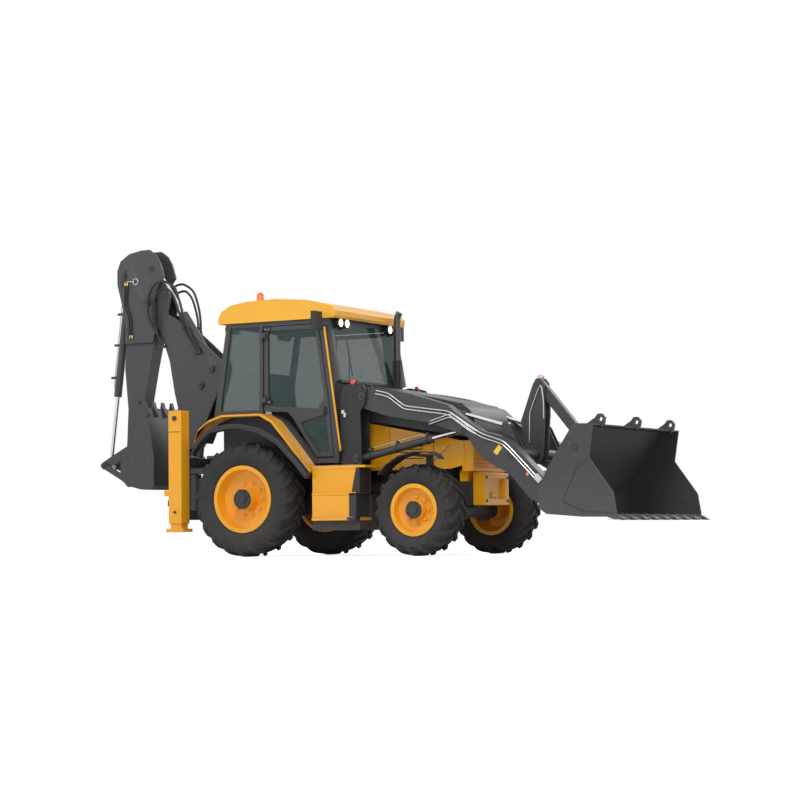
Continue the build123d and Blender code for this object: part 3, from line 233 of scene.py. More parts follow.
def finishes():
    """Every finish of the machine, by its plain name."""
    s = bpy.context.scene.dress
    yellow, roof, charcoal = tuple(s.body_paint), tuple(s.roof_paint), tuple(s.arm_paint)
    return {
        "yellow": finish_of("yellow_paint", yellow, 0.34, grime=0.10, grain=240, bump=0.02, coat=0.25,
                            dust=(0.45, 0.25, 0.10)),
        "roof": finish_of("roof_paint", roof, 0.36, grime=0.12, grain=200, bump=0.03, coat=0.2),
        "charcoal": finish_of("charcoal_paint", charcoal, 0.48, grime=0.2, grain=240, bump=0.03, coat=0.05),
        "worn": finish_of("bucket_paint", charcoal, 0.5, grime=0.3, grain=90, bump=0.10,
                          wear=(0.15, 0.15, 0.155)),
        "frame_black": finish_of("frame_black", (0.022, 0.022, 0.023), 0.5, grime=0.3, bump=0.05),
        "plastic": finish_of("black_plastic", (0.025, 0.025, 0.027), 0.55, grime=0.15, grain=500, bump=0.15),
        "rubber": finish_of("tyre_rubber", (0.019, 0.019, 0.020), 0.78, grime=0.12, grain=140, bump=0.12,
                            dust_top=1.4),
        "hose": finish_of("hose_rubber", (0.016, 0.016, 0.017), 0.5, grime=0.05, grain=400, bump=0.1),
        "chrome": finish_of("rod_chrome", (0.78, 0.78, 0.80), 0.10, metallic=1.0, grime=0.04, bump=0.0),
        "steel": finish_of("tube_steel", (0.62, 0.62, 0.64), 0.26, metallic=1.0, grime=0.08, bump=0.03),
        "pipe": finish_of("stack_steel", (0.10, 0.10, 0.105), 0.38, metallic=0.7, grime=0.2, bump=0.05),
        "brass": finish_of("fitting_brass", (0.72, 0.52, 0.20), 0.3, metallic=1.0, grime=0.1),
        "iron": finish_of("engine_iron", (0.05, 0.05, 0.052), 0.6, metallic=0.3, grime=0.3, bump=0.2),
        "fabric": finish_of("seat_cloth", (0.035, 0.036, 0.04), 0.9, grime=0.1, grain=900, bump=0.4),
        "glass": see_through("window_glass", (0.035, 0.085, 0.080), 0.46),
        "amber": glowing("beacon_amber", (0.85, 0.14, 0.005), 0.15),
        "red": glowing("lamp_red", (0.75, 0.03, 0.02), 0.25),
        # Orange with a glow: lamp light on the tail lamp's orange part, and a painted glint on the arm's
        # reflector, which is no lamp
        "orange": glowing("orange_lamp_glow_and_painted_glint", (0.9, 0.24, 0.03), 0.15),
        "lens": glowing("lamp_lens", (1.0, 0.84, 0.62), 1.5),
        "clear": finish_of("lamp_clear", (0.70, 0.72, 0.72), 0.25, grime=0.05),
        "mirror": finish_of("mirror_face", (0.85, 0.87, 0.88), 0.03, metallic=1.0, grime=0.0, bump=0.0),
        "pale": finish_of("pale_plate", (0.72, 0.72, 0.70), 0.4, grime=0.1),
        "label": finish_of("label_yellow", (0.93, 0.62, 0.05), 0.4, grime=0.05),
    }


# Making pieces

def add_piece(work, name, body, finish, smooth=35):
    """Turn a bmesh into a piece that rides on a body; finish is a name, smooth an angle in degrees."""
    mesh = bpy.data.meshes.new(name)
    work.to_mesh(mesh)
    work.free()
    piece = bpy.data.objects.new(name, mesh)
    bpy.context.scene.collection.objects.link(piece)
    mesh.materials.append(finishes()[finish])
    for face in mesh.polygons:
        face.use_smooth = True
    mesh.set_sharp_from_angle(angle=math.radians(smooth))
    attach(piece, body)
    return piece


def keep_piece(work, name, body, finish, smooth=35):
    """Clean a bmesh that was put together from parts and make it a piece."""
    bmesh.ops.remove_doubles(work, verts=work.verts, dist=1e-5)
    bmesh.ops.recalc_face_normals(work, faces=work.faces)
    return add_piece(work, name, body, finish, smooth)


def assemble(name, body, parts, bevel=0.0):
    """One piece of several finishes: parts holds (name of the finish, function that fills a bmesh)."""
    whole, carrier = bmesh.new(), bpy.data.meshes.new(name + "_part")
    for index, (finish, fill) in enumerate(parts):
        work = bmesh.new()
        fill(work)
        for face in work.faces:
            face.material_index = index
        work.to_mesh(carrier)
        work.free()
        whole.from_mesh(carrier)
    piece = keep_piece(whole, name, body, parts[0][0])
    for finish, _ in parts[1:]:
        piece.data.materials.append(finishes()[finish])
    return round_edges(piece, bevel) if bevel else piece


def both_sides(fill):
    """Make a fill of one side into a fill of the left side and then the right."""
    def filled(work):
        for side in (1, -1):
            fill(work, side)
    return filled


def disc(work, at, radius, depth, axis="y", segments=32, tip=None):
    """Add a round boss whose middle is at a point."""
    turn = {"x": Matrix.Rotation(math.pi / 2, 4, "Y"), "y": Matrix.Rotation(-math.pi / 2, 4, "X"),
            "z": Matrix.Identity(4)}[axis]
    bmesh.ops.create_cone(work, cap_ends=True, segments=segments, radius1=radius,
                          radius2=radius if tip is None else tip, depth=depth,
                          matrix=Matrix.Translation(at) @ turn)


def brick(work, x0, x1, y0, y1, z0, z1, side=1):
    """Add a box given in millimetres from the rear axle; side is -1 on the right."""
    y0, y1 = side * y0, side * y1
    low = place(min(x0, x1), min(y0, y1), min(z0, z1))
    high = place(max(x0, x1), max(y0, y1), max(z0, z1))
    box_between(work, low, high)


def wedge(work, outline, y0, y1, side=1):
    """Add a side outline in millimetres made solid between two y values."""
    rings = [[work.verts.new(place(x, side * y, z)) for x, z in outline] for y in (y0, y1)]
    work.faces.new(rings[0])
    work.faces.new(rings[1])
    for n in range(len(outline)):
        m = (n + 1) % len(outline)
        work.faces.new((rings[0][n], rings[0][m], rings[1][m], rings[1][n]))


def tube_of(work, points, radius, segments=10, spread=5, bend=0.05, side=1):
    """Add a tube along a line of points in millimetres, its corners rounded over the bend's length."""
    spots = [place(x, side * y, z) for x, y, z in points]
    path = [spots[0]]
    for before, corner, after in zip(spots, spots[1:], spots[2:]):
        cut = min((corner - before).length, (after - corner).length, bend * 2.2) * 0.45
        start = corner + (before - corner).normalized() * cut
        end = corner + (after - corner).normalized() * cut
        for n in range(spread + 1):
            t = n / spread
            path.append(start * (1 - t) ** 2 + corner * 2 * t * (1 - t) + end * t ** 2)
    path.append(spots[-1])
    way = (path[1] - path[0]).normalized()
    across = way.cross(Vector((0, 1, 0)))
    across = across.normalized() if across.length > 0.1 else way.cross(Vector((0, 0, 1))).normalized()
    rings = []
    for n, at in enumerate(path):
        ahead = (path[min(n + 1, len(path) - 1)] - path[max(n - 1, 0)]).normalized()
        across = (across - ahead * across.dot(ahead)).normalized()
        other = ahead.cross(across)
        rings.append([work.verts.new(at + (across * math.cos(a) + other * math.sin(a)) * radius)
                      for a in (math.tau * k / segments for k in range(segments))])
    for first, second in zip(rings, rings[1:]):
        for k in range(segments):
            m = (k + 1) % segments
            work.faces.new((first[k], first[m], second[m], second[k]))
    work.faces.new(rings[0][::-1])
    work.faces.new(rings[-1])


def round_edges(piece, width):
    bevel = piece.modifiers.new("round", "BEVEL")
    bevel.width = width
    bevel.segments = 2
    bevel.limit_method = "ANGLE"
    bevel.angle_limit = math.radians(38)
    return piece


def soften(node, finish, width):
    """The node's own form with its edges rounded, in place of the sharp solid."""
    source = frame["nodes"][node]
    work = bmesh.new()
    work.from_mesh(source.data)
    work.transform(source.matrix_world)
    bmesh.ops.remove_doubles(work, verts=work.verts, dist=2e-5)
    bmesh.ops.dissolve_limit(work, angle_limit=math.radians(1.0), verts=work.verts, edges=work.edges)
    piece = add_piece(work, node + "_dressed", BODY_OF[node], finish)
    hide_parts(node)
    return round_edges(piece, width)


def rod_along(work, start, end, radius):
    """Add a round bar between two points."""
    way = end - start
    turn = way.to_track_quat("Z", "Y").to_matrix().to_4x4()
    matrix = Matrix.Translation((start + end) / 2) @ turn
    bmesh.ops.create_cone(work, cap_ends=True, segments=32, radius1=radius, radius2=radius,
                          depth=way.length, matrix=matrix)


def box_between(work, low, high):
    """Add a box between two corners."""
    centre = (low + high) / 2
    size = Matrix.Diagonal((high - low).to_4d())
    bmesh.ops.create_cube(work, size=1, matrix=Matrix.Translation(centre) @ size)


class DRESS_OT_stage(bpy.types.Operator):
    """Floor, light and the camera of the three-quarter view"""
    bl_idname = "dress.stage"
    bl_label = "Stage and camera"

    AMBIENT = 0.62       # strength of the white surroundings as a light
    FLOOR_LIFT = 0.75    # glow that keeps the floor white to the camera
    AIM = (0, 0, 1.2)    # what the lamps point at, in metres
    # name, place in metres, width in metres, watts
    LAMPS = (("key", (5, -11, 12), 6.0, 820.0), ("fill", (-11, -7, 7), 8.0, 200.0),
             ("rim", (3, 13, 9), 7.0, 420.0), ("low", (9, -13, 2.5), 6.0, 90.0))
    CAMERA_AT = (14174, -22875, 282)             # millimetres from the rear axle
    TURN, PITCH, ROLL = 29.067, 3.268, -0.648    # degrees

    def execute(self, context):
        scene = context.scene
        scene.view_settings.view_transform = "Standard"
        mesh = bpy.data.meshes.new("floor")
        mesh.from_pydata([(-60, -60, 0), (60, -60, 0), (60, 60, 0), (-60, 60, 0)], [], [(0, 1, 2, 3)])
        floor = bpy.data.objects.new("floor", mesh)
        scene.collection.objects.link(floor)
        mesh.materials.append(self.pale_surface())
        world = bpy.data.worlds.new("studio")
        scene.world = world
        world.use_nodes = True
        tree = world.node_tree
        sky = tree.nodes["Background"]
        dial(sky, {"Color": (1.0, 1.0, 1.0, 1)})
        path = tree.nodes.new("ShaderNodeLightPath")
        seen = path.outputs["Is Camera Ray"]    # white to the camera, in mirrors and through glass
        for ray in ("Is Glossy Ray", "Is Transmission Ray"):
            seen = calculate(tree, "MAXIMUM", seen, path.outputs[ray])
        strength = tree.nodes.new("ShaderNodeMix")
        strength.data_type = "FLOAT"
        dial(strength, {"A": self.AMBIENT, "B": 1.0})
        tree.links.new(seen, strength.inputs["Factor"])
        tree.links.new(strength.outputs["Result"], sky.inputs["Strength"])
        for name, at, size, power in self.LAMPS:
            lamp = bpy.data.lights.new(name, "AREA")
            lamp.shape = "DISK"
            lamp.size = size
            lamp.energy = power
            body = bpy.data.objects.new(name, lamp)
            scene.collection.objects.link(body)
            body.location = at
            body.rotation_euler = (Vector(self.AIM) - Vector(at)).to_track_quat("-Z", "Y").to_euler()
        self.add_camera(scene)
        return {"FINISHED"}

    def pale_surface(self):
        """A matt white floor that stays white in the picture and still takes soft shadows."""
        mat = bpy.data.materials.new("pale_floor")
        mat.use_nodes = True
        tree = mat.node_tree
        shader = tree.nodes["Principled BSDF"]
        dial(shader, {"Base Color": (0.86, 0.86, 0.86, 1), "Roughness": 0.9,
                      "Emission Color": (1, 1, 1, 1)})
        path = tree.nodes.new("ShaderNodeLightPath")
        lift = calculate(tree, "MULTIPLY", path.outputs["Is Camera Ray"], self.FLOOR_LIFT)
        tree.links.new(lift, shader.inputs["Emission Strength"])
        return mat

    def add_camera(self, scene):
        """The photograph's own view: low, from the right and a little ahead."""
        data = bpy.data.cameras.new("view")
        data.lens = scene.dress.camera_lens
        data.sensor_width = 36
        data.clip_end = 200
        camera = bpy.data.objects.new("view", data)
        scene.collection.objects.link(camera)
        turn, pitch, roll = (math.radians(angle) for angle in (self.TURN, self.PITCH, self.ROLL))
        ahead = Vector((-math.sin(turn) * math.cos(pitch), math.cos(turn) * math.cos(pitch), math.sin(pitch)))
        right = Vector((math.cos(turn), math.sin(turn), 0))
        up = right.cross(ahead)
        right, up = (right * math.cos(roll) + up * math.sin(roll),
                     up * math.cos(roll) - right * math.sin(roll))
        matrix = Matrix((right, up, -ahead)).transposed().to_4x4()
        matrix.translation = place(*self.CAMERA_AT)
        camera.matrix_world = matrix
        scene.camera = camera


class DRESS_OT_tyres(bpy.types.Operator):
    """Tyres with a crowned carcass and two rows of slanted tread bars"""
    bl_idname = "dress.tyres"
    bl_label = "Tyres"

    # share of a bar's length before the shoulder, its fall there and its slant in metres
    FLAT, FALL, SLANT = 0.55, 0.075, 0.16

    def execute(self, context):
        s = context.scene.dress
        # end, bars on each side, width of a bar
        for end, lugs, bar_w in (("rear", s.rear_lugs, 0.062), ("front", s.front_lugs, 0.056)):
            for name, _ in SIDES:
                self.tyre("%s_tyre_%s" % (end, name), lugs, bar_w, s.lug_height)
        return {"FINISHED"}

    def tyre(self, node, lugs, bar_w, lug_h):
        """Spin the carcass from its half profile, then lay the bars round it."""
        low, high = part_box(node)
        centre = (low + high) / 2
        tip_r, half = (high.z - low.z) / 2, (high.y - low.y) / 2
        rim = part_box(node.replace("tyre", "rim"))
        rim_r, rim_half = (rim[1].z - rim[0].z) / 2, (rim[1].y - rim[0].y) / 2
        crown = tip_r - lug_h
        bead = -rim_half + 0.012
        profile = [(bead, rim_r - 0.02), (bead, rim_r + 0.006), (-rim_half - 0.006, rim_r + 0.02),
                   (-half + 0.006, (rim_r * 1.3 + tip_r * 0.7) / 2), (-half, (rim_r + tip_r) / 2 + 0.01),
                   (-half + 0.008, tip_r - 0.10), (-half + 0.030, crown - 0.028),
                   (-half + 0.07, crown - 0.006), (0, crown)]
        profile += [(-w, r) for w, r in reversed(profile[:-1])]
        work = bmesh.new()
        ring = [work.verts.new(centre + Vector((0, w, r))) for w, r in profile]
        edges = [work.edges.new((a, b)) for a, b in zip(ring, ring[1:])]
        bmesh.ops.spin(work, geom=ring + edges, cent=centre, axis=(0, 1, 0), angle=math.tau, steps=96,
                       use_merge=True)
        template = bmesh.new()
        bmesh.ops.create_cube(template, size=1)
        long_edges = [e for e in template.edges if abs((e.verts[0].co - e.verts[1].co).y) > 0.5]
        bmesh.ops.subdivide_edges(template, edges=long_edges, cuts=4, use_grid_fill=True)
        carrier = bpy.data.meshes.new("bar")
        for row in (1, -1):
            for n in range(lugs):
                angle = math.tau * (n + (0.5 if row < 0 else 0)) / lugs
                bar = template.copy()
                self.wrap_bar(bar, centre, row, angle, half, crown, tip_r, bar_w)
                bar.to_mesh(carrier)
                bar.free()
                work.from_mesh(carrier)
        template.free()
        piece = keep_piece(work, node + "_tread", BODY_OF[node], "rubber", smooth=30)
        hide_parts(node)

    def wrap_bar(self, bar, centre, row, angle, half, crown, tip_r, bar_w):
        """Bend one tread bar round the crown, from the middle to past the shoulder."""
        for v in bar.verts:
            across, along, up = v.co.x, v.co.y + 0.5, v.co.z + 0.5
            width = row * (0.006 + along * (half - 0.008))
            drop = self.FALL * max(0.0, (along - self.FLAT) / (1 - self.FLAT)) ** 2
            foot = crown - 0.012 - drop * 1.15
            tip = tip_r - drop * 0.9
            taper = 1.0 if up < 0.5 else 0.78
            reach = foot + (tip - foot) * up
            turn = angle + (bar_w * taper * across * (0.8 + 0.35 * along) + along * self.SLANT) / tip_r
            v.co = centre + Vector((math.sin(turn) * reach, width, math.cos(turn) * reach))


class DRESS_OT_panels(bpy.types.Operator):
    """Rounded edges and paint for the plates, boxes and castings"""
    bl_idname = "dress.panels"
    bl_label = "Painted panels"

    def execute(self, context):
        # finish, rounding in shares of the edge rounding, nodes
        rounded = (
            ("yellow", 1.2, "engine_cowling"), ("yellow", 3.2, "front_bumper"),
            ("yellow", 1.6, "rear_fenders"), ("yellow", 1.0, "side_steps"),
            ("yellow", 1.6, "stabiliser_housings"),
            ("yellow", 1.2, "stabiliser_leg_left stabiliser_leg_right"), ("roof", 8.0, "cab_roof"),
            ("charcoal", 6.0, "hood"),
            ("charcoal", 1.2, "loader_arms tilt_lever tilt_link backhoe_boom backhoe_dipper "
                              "backhoe_carriage"),
            ("charcoal", 1.0, "swing_post"), ("charcoal", 0.8, "guide_levers bucket_link"),
            ("charcoal", 1.6, "cab_frame"), ("charcoal", 1.0, "cab_tub"),
            ("charcoal", 1.2, "door_left door_right"),
            ("charcoal", 0.6, "lift_cylinder_barrels tilt_cylinder_barrels boom_cylinder_barrel "
                              "dipper_cylinder_barrel bucket_cylinder_barrel"),
            ("worn", 1.0, "loader_bucket"), ("worn", 0.8, "backhoe_bucket"),
            ("plastic", 2.0, "fender_flares"),
            ("plastic", 1.6, "dashboard seat_base knuckle_left knuckle_right"),
            ("frame_black", 1.0, "chassis_frame"),
            ("frame_black", 1.2, "rear_axle front_axle loader_towers"), ("iron", 4.0, "engine_block"),
        )
        for finish, share, nodes in rounded:
            for node in nodes.split():
                soften(node, finish, share * context.scene.dress.edge_round)
        plain = (("yellow", "front_rim_left front_rim_right rear_rim_left rear_rim_right"),
                 ("chrome", "lift_cylinder_rods tilt_cylinder_rods boom_cylinder_rod "
                            "dipper_cylinder_rod bucket_cylinder_rod"),
                 ("glass", "cab_glass door_glass_left door_glass_right"))
        for finish, nodes in plain:
            for node in nodes.split():
                data = frame["nodes"][node].data
                data.materials.clear()
                data.materials.append(finishes()[finish])
        return {"FINISHED"}


class DRESS_OT_wheels(bpy.types.Operator):
    """Wheel nuts and hub caps"""
    bl_idname = "dress.wheels"
    bl_label = "Wheel hardware"

    def execute(self, context):
        # axle, bolt count, bolt circle, disc face and hub face outward of the wheel's middle, hub radius
        for end, count, circle, face, hub_face, hub_r in (("rear", 10, 0.182, 0.028, 0.170, 0.098),
                                                          ("front", 8, 0.144, 0.070, 0.157, 0.084)):
            hub = REAR_HUB if end == "rear" else FRONT_HUB
            for name, side in SIDES:
                middle = Vector((hub.x, side * abs(hub.y), hub.z))
                out = Vector((0, side, 0))

                def nuts(work):
                    for n in range(count):
                        a = math.tau * n / count
                        spot = middle + Vector((math.cos(a), 0, math.sin(a))) * circle
                        disc(work, spot + out * (face + 0.004), 0.021, 0.010)
                        disc(work, spot + out * (face + 0.018), 0.015, 0.022, segments=6)

                def cap(work):
                    disc(work, middle + out * (hub_face + 0.005), hub_r * 1.16, 0.014, segments=48)
                    for n in range(8):
                        a = math.tau * (n + 0.5) / 8
                        spot = middle + Vector((math.cos(a), 0, math.sin(a))) * hub_r * 0.95
                        disc(work, spot + out * (hub_face + 0.016), 0.009, 0.010, segments=6)
                    disc(work, middle + out * (hub_face + 0.018), hub_r * 0.55, 0.016, segments=32)

                assemble("%s_wheel_nuts_%s" % (end, name), "%s_wheel_%s" % (end, name),
                         [("frame_black", cap), ("yellow", nuts)], bevel=0.0015)
        return {"FINISHED"}


class DRESS_OT_pins(bpy.types.Operator):
    """Pin heads with their bolts at every joint of the arms"""
    bl_idname = "dress.pins"
    bl_label = "Pin heads"

    # body, x, z, outer face, radius: millimetres from the rear axle
    HEADS = (("chassis", 1385, 1785, 745, 46), ("chassis", 1306, 1093, 745, 42),
             ("loader_arms", 2640, 1380, 715, 42), ("loader_bucket", 3640, 640, 745, 44),
             ("loader_arms", 3200, 1100, 715, 52), ("tilt_lever", 3255, 1875, 75, 36),
             ("loader_bucket", 3820, 1190, 95, 40), ("dipper", -1980, 3100, 152, 56),
             ("swing_post", -1600, 640, 140, 46), ("boom", -1220, 2050, 119, 44),
             ("boom", -1060, 2240, 119, 42), ("dipper", -2330, 3430, 140, 40),
             ("dipper", -1920, 3500, 140, 42), ("dipper", -2147, 1679, 100, 26),
             ("dipper", -2133, 1878, 100, 26), ("dipper", -2250, 1313, 130, 36),
             ("bucket_link", -2630, 1116, 152, 36), ("backhoe_bucket", -2237, 901, 197, 34),
             ("dipper", -2220, 1120, 130, 38))

    def execute(self, context):
        for n, (body, x, z, face, radius) in enumerate(self.HEADS):
            for name, side in SIDES:
                def boss(work):
                    disc(work, place(x, side * (face + 5), z), radius / 1000, 0.012, segments=36)

                def bolt(work):
                    disc(work, place(x, side * (face + 14), z), radius * 0.42 / 1000, 0.010, segments=24)
                    disc(work, place(x + radius * 0.62, side * (face + 14), z), 0.009, 0.009, segments=6)

                assemble("pin_head_%d_%s" % (n, name), body,
                         [("charcoal", boss), ("iron", bolt)], bevel=0.0015)
        return {"FINISHED"}


class DRESS_OT_lines(bpy.types.Operator):
    """Steel tubes and clamped black lines of the hydraulics"""
    bl_idname = "dress.lines"
    bl_label = "Hydraulic lines"

    def execute(self, context):
        thick = context.scene.dress.hose_radius
        upper = [(1560, 1846), (1720, 1808), (1920, 1662), (2480, 1580), (2850, 1335)]
        lower = [(2240, 1480), (2510, 1556), (2735, 1395), (2800, 1362), (2890, 1318), (3130, 1238),
                 (3200, 1182), (3530, 848)]
        pair_gap = 34
        for name, side in SIDES:
            y = side * (ARM_FACE + 12)

            def tubes(work):
                for route in (upper, lower):
                    for shift in (0, -pair_gap):
                        tube_of(work, [(x + shift * 0.35, y, z + shift) for x, z in route], thick * 0.8)

            def clamps(work):
                for x, z in ((1600, 1838), (2100, 1636), (2380, 1594), (3165, 1205), (3400, 976)):
                    brick(work, x - 9, x + 9, ARM_FACE, ARM_FACE + 14, z - 46, z + 12, side)

            def block(work):
                wedge(work, [(3500, 832), (3560, 770), (3605, 812), (3548, 876)],
                      ARM_FACE, ARM_FACE + 36, side)

            assemble("arm_tubes_" + name, "loader_arms",
                     [("steel", tubes), ("charcoal", clamps), ("clear", block)], bevel=0.002)

            def barrel_line(work):
                route = ((1400, 1182), (1430, 1200), (2080, 1340), (2130, 1318))
                tube_of(work, [(x, LIFT_Y, z) for x, z in route], thick * 0.7, side=side)

            def collars(work):
                base, mouth = place(1306, side * LIFT_Y, 1093), place(2222, side * LIFT_Y, 1290)
                way = Vector((0.976, 0, 0.21))
                for t in (0.16, 0.52, 0.94):
                    spot = base.lerp(mouth, t)
                    rod_along(work, spot - way * 0.016, spot + way * 0.016, 0.049)
                    box_between(work, spot + Vector((-0.016, -0.016, 0.04)),
                                spot + Vector((0.012, 0.016, 0.085)))

            assemble("lift_lines_" + name, "lift_barrels",
                     [("steel", barrel_line), ("iron", collars)], bevel=0.0015)

        outer_loop = [(-1745, 126, 2540), (-1850, 150, 2740), (-1925, 190, 2900), (-1925, 200, 3130),
                      (-1850, 200, 3290), (-1690, 200, 3340), (-1520, 200, 3240), (-1440, 194, 3020),
                      (-1408, 184, 2850), (-1370, 126, 2690), (-1215, 124, 2450)]
        inner_loop = [(-1785, 126, 2540), (-1825, 150, 2740), (-1850, 190, 2900), (-1850, 200, 3060),
                      (-1775, 200, 3220), (-1640, 200, 3248), (-1545, 200, 3150), (-1482, 194, 2980),
                      (-1445, 184, 2840), (-1405, 126, 2680), (-1252, 124, 2450)]

        @both_sides
        def boom_lines(work, side):
            for route in (outer_loop, inner_loop):
                tube_of(work, route, thick * 1.2, spread=8, bend=0.3, side=side)

        @both_sides
        def boom_clamps(work, side):
            for x, z in ((-1762, 2540), (-1425, 2760), (-1245, 2450)):
                brick(work, x - 48, x + 42, 105, 142, z - 16, z + 16, side)

        assemble("boom_lines", "boom",
                 [("hose", boom_lines), ("iron", boom_clamps)], bevel=0.0015)

        @both_sides
        def dipper_lines(work, side):
            for shift in (0, 30):
                route = ((-2290, 150, 3330), (-2310, 152, 3080), (-2240, 152, 2900), (-2235, 152, 2660))
                tube_of(work, [(x + shift, y, z) for x, y, z in route], thick * 0.9, side=side)

        @both_sides
        def dipper_ends(work, side):
            for x, z in ((-2290, 3330), (-2222, 2680)):
                for shift in (0, 30):
                    disc(work, place(x + shift, side * 150, z), 0.014, 0.04, "z", 6)

        assemble("dipper_lines", "dipper",
                 [("hose", dipper_lines), ("brass", dipper_ends)], bevel=0.001)

        def lock_ring(work):
            ring_x, ring_z, ring_r, y, wire = -2140, 3355, 38, -148, 0.005
            tube_of(work, [(ring_x + ring_r * math.cos(a), y, ring_z + ring_r * math.sin(a))
                           for a in (math.tau * n / 16 for n in range(17))], wire)
            tube_of(work, [(-2178, y, 3357), (-2270, y, 3362)], wire)

        assemble("lock_pin_ring", "dipper", [("pale", lock_ring)])

        # A thin black oval on the dipper's side plate: painted shade for the dark inside of the opening by
        # the cylinder head
        @both_sides
        def painted_opening_shade(work, side):
            rim = [(-2318 + 42 * math.cos(a) + 26 * math.sin(a), 3390 + 118 * math.sin(a))
                   for a in (math.tau * n / 20 for n in range(20))]
            wedge(work, rim, 139, 141.5, side)

        assemble("dipper_opening_shade", "dipper", [("plastic", painted_opening_shade)])

        def barrel_tubes(work):
            for y in (-22, 22):
                tube_of(work, [(-2415, y, 3120), (-2440, y, 3080), (-2560, y, 2100), (-2545, y, 2040)],
                        thick * 0.7)

        def barrel_bands(work):
            lean = 0.1296    # how far the barrel's axis goes back for each step down
            for z in (2980, 2600, 2200):
                x = -2330 - (3430 - z) * lean
                brick(work, x - 108, x - 38, -34, 34, z - 14, z + 14)

        assemble("bucket_barrel_lines", "bucket_barrel",
                 [("steel", barrel_tubes), ("iron", barrel_bands)], bevel=0.0015)

        def lever_tubes(work):
            for y in (-84, 84):
                tube_of(work, [(3140, y, 1240), (3150, y, 1560), (3230, y, 1760), (3290, y, 1890),
                               (3320, y, 1700), (3320, y, 1500)], thick * 0.75)

        assemble("lever_tubes", "tilt_lever", [("steel", lever_tubes)])
        return {"FINISHED"}


class DRESS_OT_cab(bpy.types.Operator):
    """Lamps, beacon, mirrors, rails, wiper, door gear and seals of the cab"""
    bl_idname = "dress.cab"
    bl_label = "Cab fittings"

    def execute(self, context):
        half_w = CAB_FACE
        lamp_z, lamp_rows = 2640, (-640, -500, 500, 640)

        def lamp_shells(work):
            for x, foot_x0, foot_x1 in ((1030, 1016, 1038), (-450, -462, -432)):
                for y in lamp_rows:
                    disc(work, place(x, y, lamp_z), 0.052, 0.056, "x")
                    brick(work, foot_x0, foot_x1, y - 14, y + 14, 2680, 2691)

        def lamp_lenses(work):
            for x in (1060, -479):
                for y in lamp_rows:
                    disc(work, place(x, y, lamp_z), 0.045, 0.008, "x")

        assemble("work_lamps", "chassis",
                 [("plastic", lamp_shells), ("lens", lamp_lenses)], bevel=0.002)
        beacon = Vector((REAR_HUB.x - 0.235, -0.3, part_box("lamps_and_beacon")[1].z - 0.165))

        def beacon_base(work):
            disc(work, beacon + Vector((0, 0, 0.012)), 0.056, 0.024, "z", 32, 0.050)

        def beacon_dome(work):
            for z, depth, first, tip in ((0.074, 0.10, 0.047, 0.044), (0.136, 0.024, 0.044, 0.034),
                                         (0.153, 0.012, 0.034, 0.014)):
                disc(work, beacon + Vector((0, 0, z)), first, depth, "z", 32, tip)

        dome = assemble("beacon", "chassis",
                        [("amber", beacon_dome), ("plastic", beacon_base)], bevel=0.002)
        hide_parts("lamps_and_beacon")

        @both_sides
        def shells(work, side):
            brick(work, 897, 948, half_w + 84, half_w + 256, 2545, 2756, side)
            tube_of(work, [(892, half_w, 2572), (892, half_w + 70, 2572),
                           (922, half_w + 170, 2580), (922, half_w + 170, 2620)], 0.011, side=side)
            for x0, x1, z in ((1085, 1140, 1172), (915, 945, 2602)):
                brick(work, x0, x1, half_w - 12, half_w + 28, z - 10, z + 10, side)

        @both_sides
        def faces(work, side):
            brick(work, 892, 897, half_w + 96, half_w + 244, 2560, 2742, side)

        mirrors = assemble("mirrors", "chassis",
                           [("plastic", shells), ("mirror", faces)], bevel=0.012)
        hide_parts("mirrors_and_rails")

        @both_sides
        def rails(work, side):
            tube_of(work, [(925, half_w - 6, 2600), (935, half_w + 20, 2585),
                           (1130, half_w + 20, 1200), (1112, half_w - 6, 1172)],
                    0.0125, 16, side=side)

        assemble("grab_rails", "chassis", [("yellow", rails)])

        def wiper(work):
            tube_of(work, [(1034, -400, 1905), (1018, -395, 2010), (985, -330, 2290)], 0.007)
            tube_of(work, [(1008, -300, 2060), (950, -350, 2520)], 0.009)
            disc(work, place(1034, -400, 1900), 0.022, 0.04, "x", 20)

        assemble("wiper", "chassis", [("plastic", wiper)], bevel=0.001)
        hinges = (1765, 2600)
        for name, side in SIDES:
            def handle(work):
                brick(work, 905, 945, half_w + 1, half_w + 7, 1590, 1690, side)
                tube_of(work, [(925, half_w + 2, 1600), (925, half_w + 26, 1612),
                               (925, half_w + 26, 1668), (925, half_w + 2, 1680)], 0.008, side=side)
                for z in hinges:
                    brick(work, 118, 205, half_w + 1, half_w + 9, z - 24, z + 24, side)

            def bolts(work):
                for z in hinges:
                    for x in (140, 182):
                        disc(work, place(x, side * (half_w + 12), z), 0.008, 0.007, segments=6)

            assemble("door_gear_" + name, "door_" + name,
                     [("plastic", handle), ("steel", bolts)], bevel=0.002)

        def roof_trim(work):
            brick(work, -470, 1040, -half_w - 6, half_w + 6, 2686, 2696)
            for x in (-250, 550):
                brick(work, x, x + 14, -half_w + 60, half_w - 60, 2866, 2874)

        assemble("roof_seal", "chassis", [("plastic", roof_trim)], bevel=0.003)
        self.exhaust()
        return {"FINISHED"}

    def exhaust(self):
        """The stack with its collars, the bars of its guard, its foot and its bent tip."""
        bars = 16

        def stack(work):
            route = ((0, 1440), (0, 2700), (8, 2790), (36, 2836))
            tube_of(work, [(STACK_X + x, STACK_Y, z) for x, z in route], 0.040, 28)
            for z, radius in ((1720, 0.052), (2280, 0.046)):
                disc(work, place(STACK_X, STACK_Y, z), radius, 0.03, "z")
            for n in range(bars):
                a = math.tau * n / bars
                spot = place(STACK_X, STACK_Y, 0) + Vector((math.cos(a), math.sin(a), 0)) * 0.050
                box_between(work, spot + Vector((-0.005, -0.005, 1.74)), spot + Vector((0.005, 0.005, 2.27)))
            brick(work, STACK_X - 10, STACK_X + 25, 430, STACK_Y, 1442, 1498)

        piece = assemble("exhaust", "chassis", [("pipe", stack)])
        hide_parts("exhaust_stack")


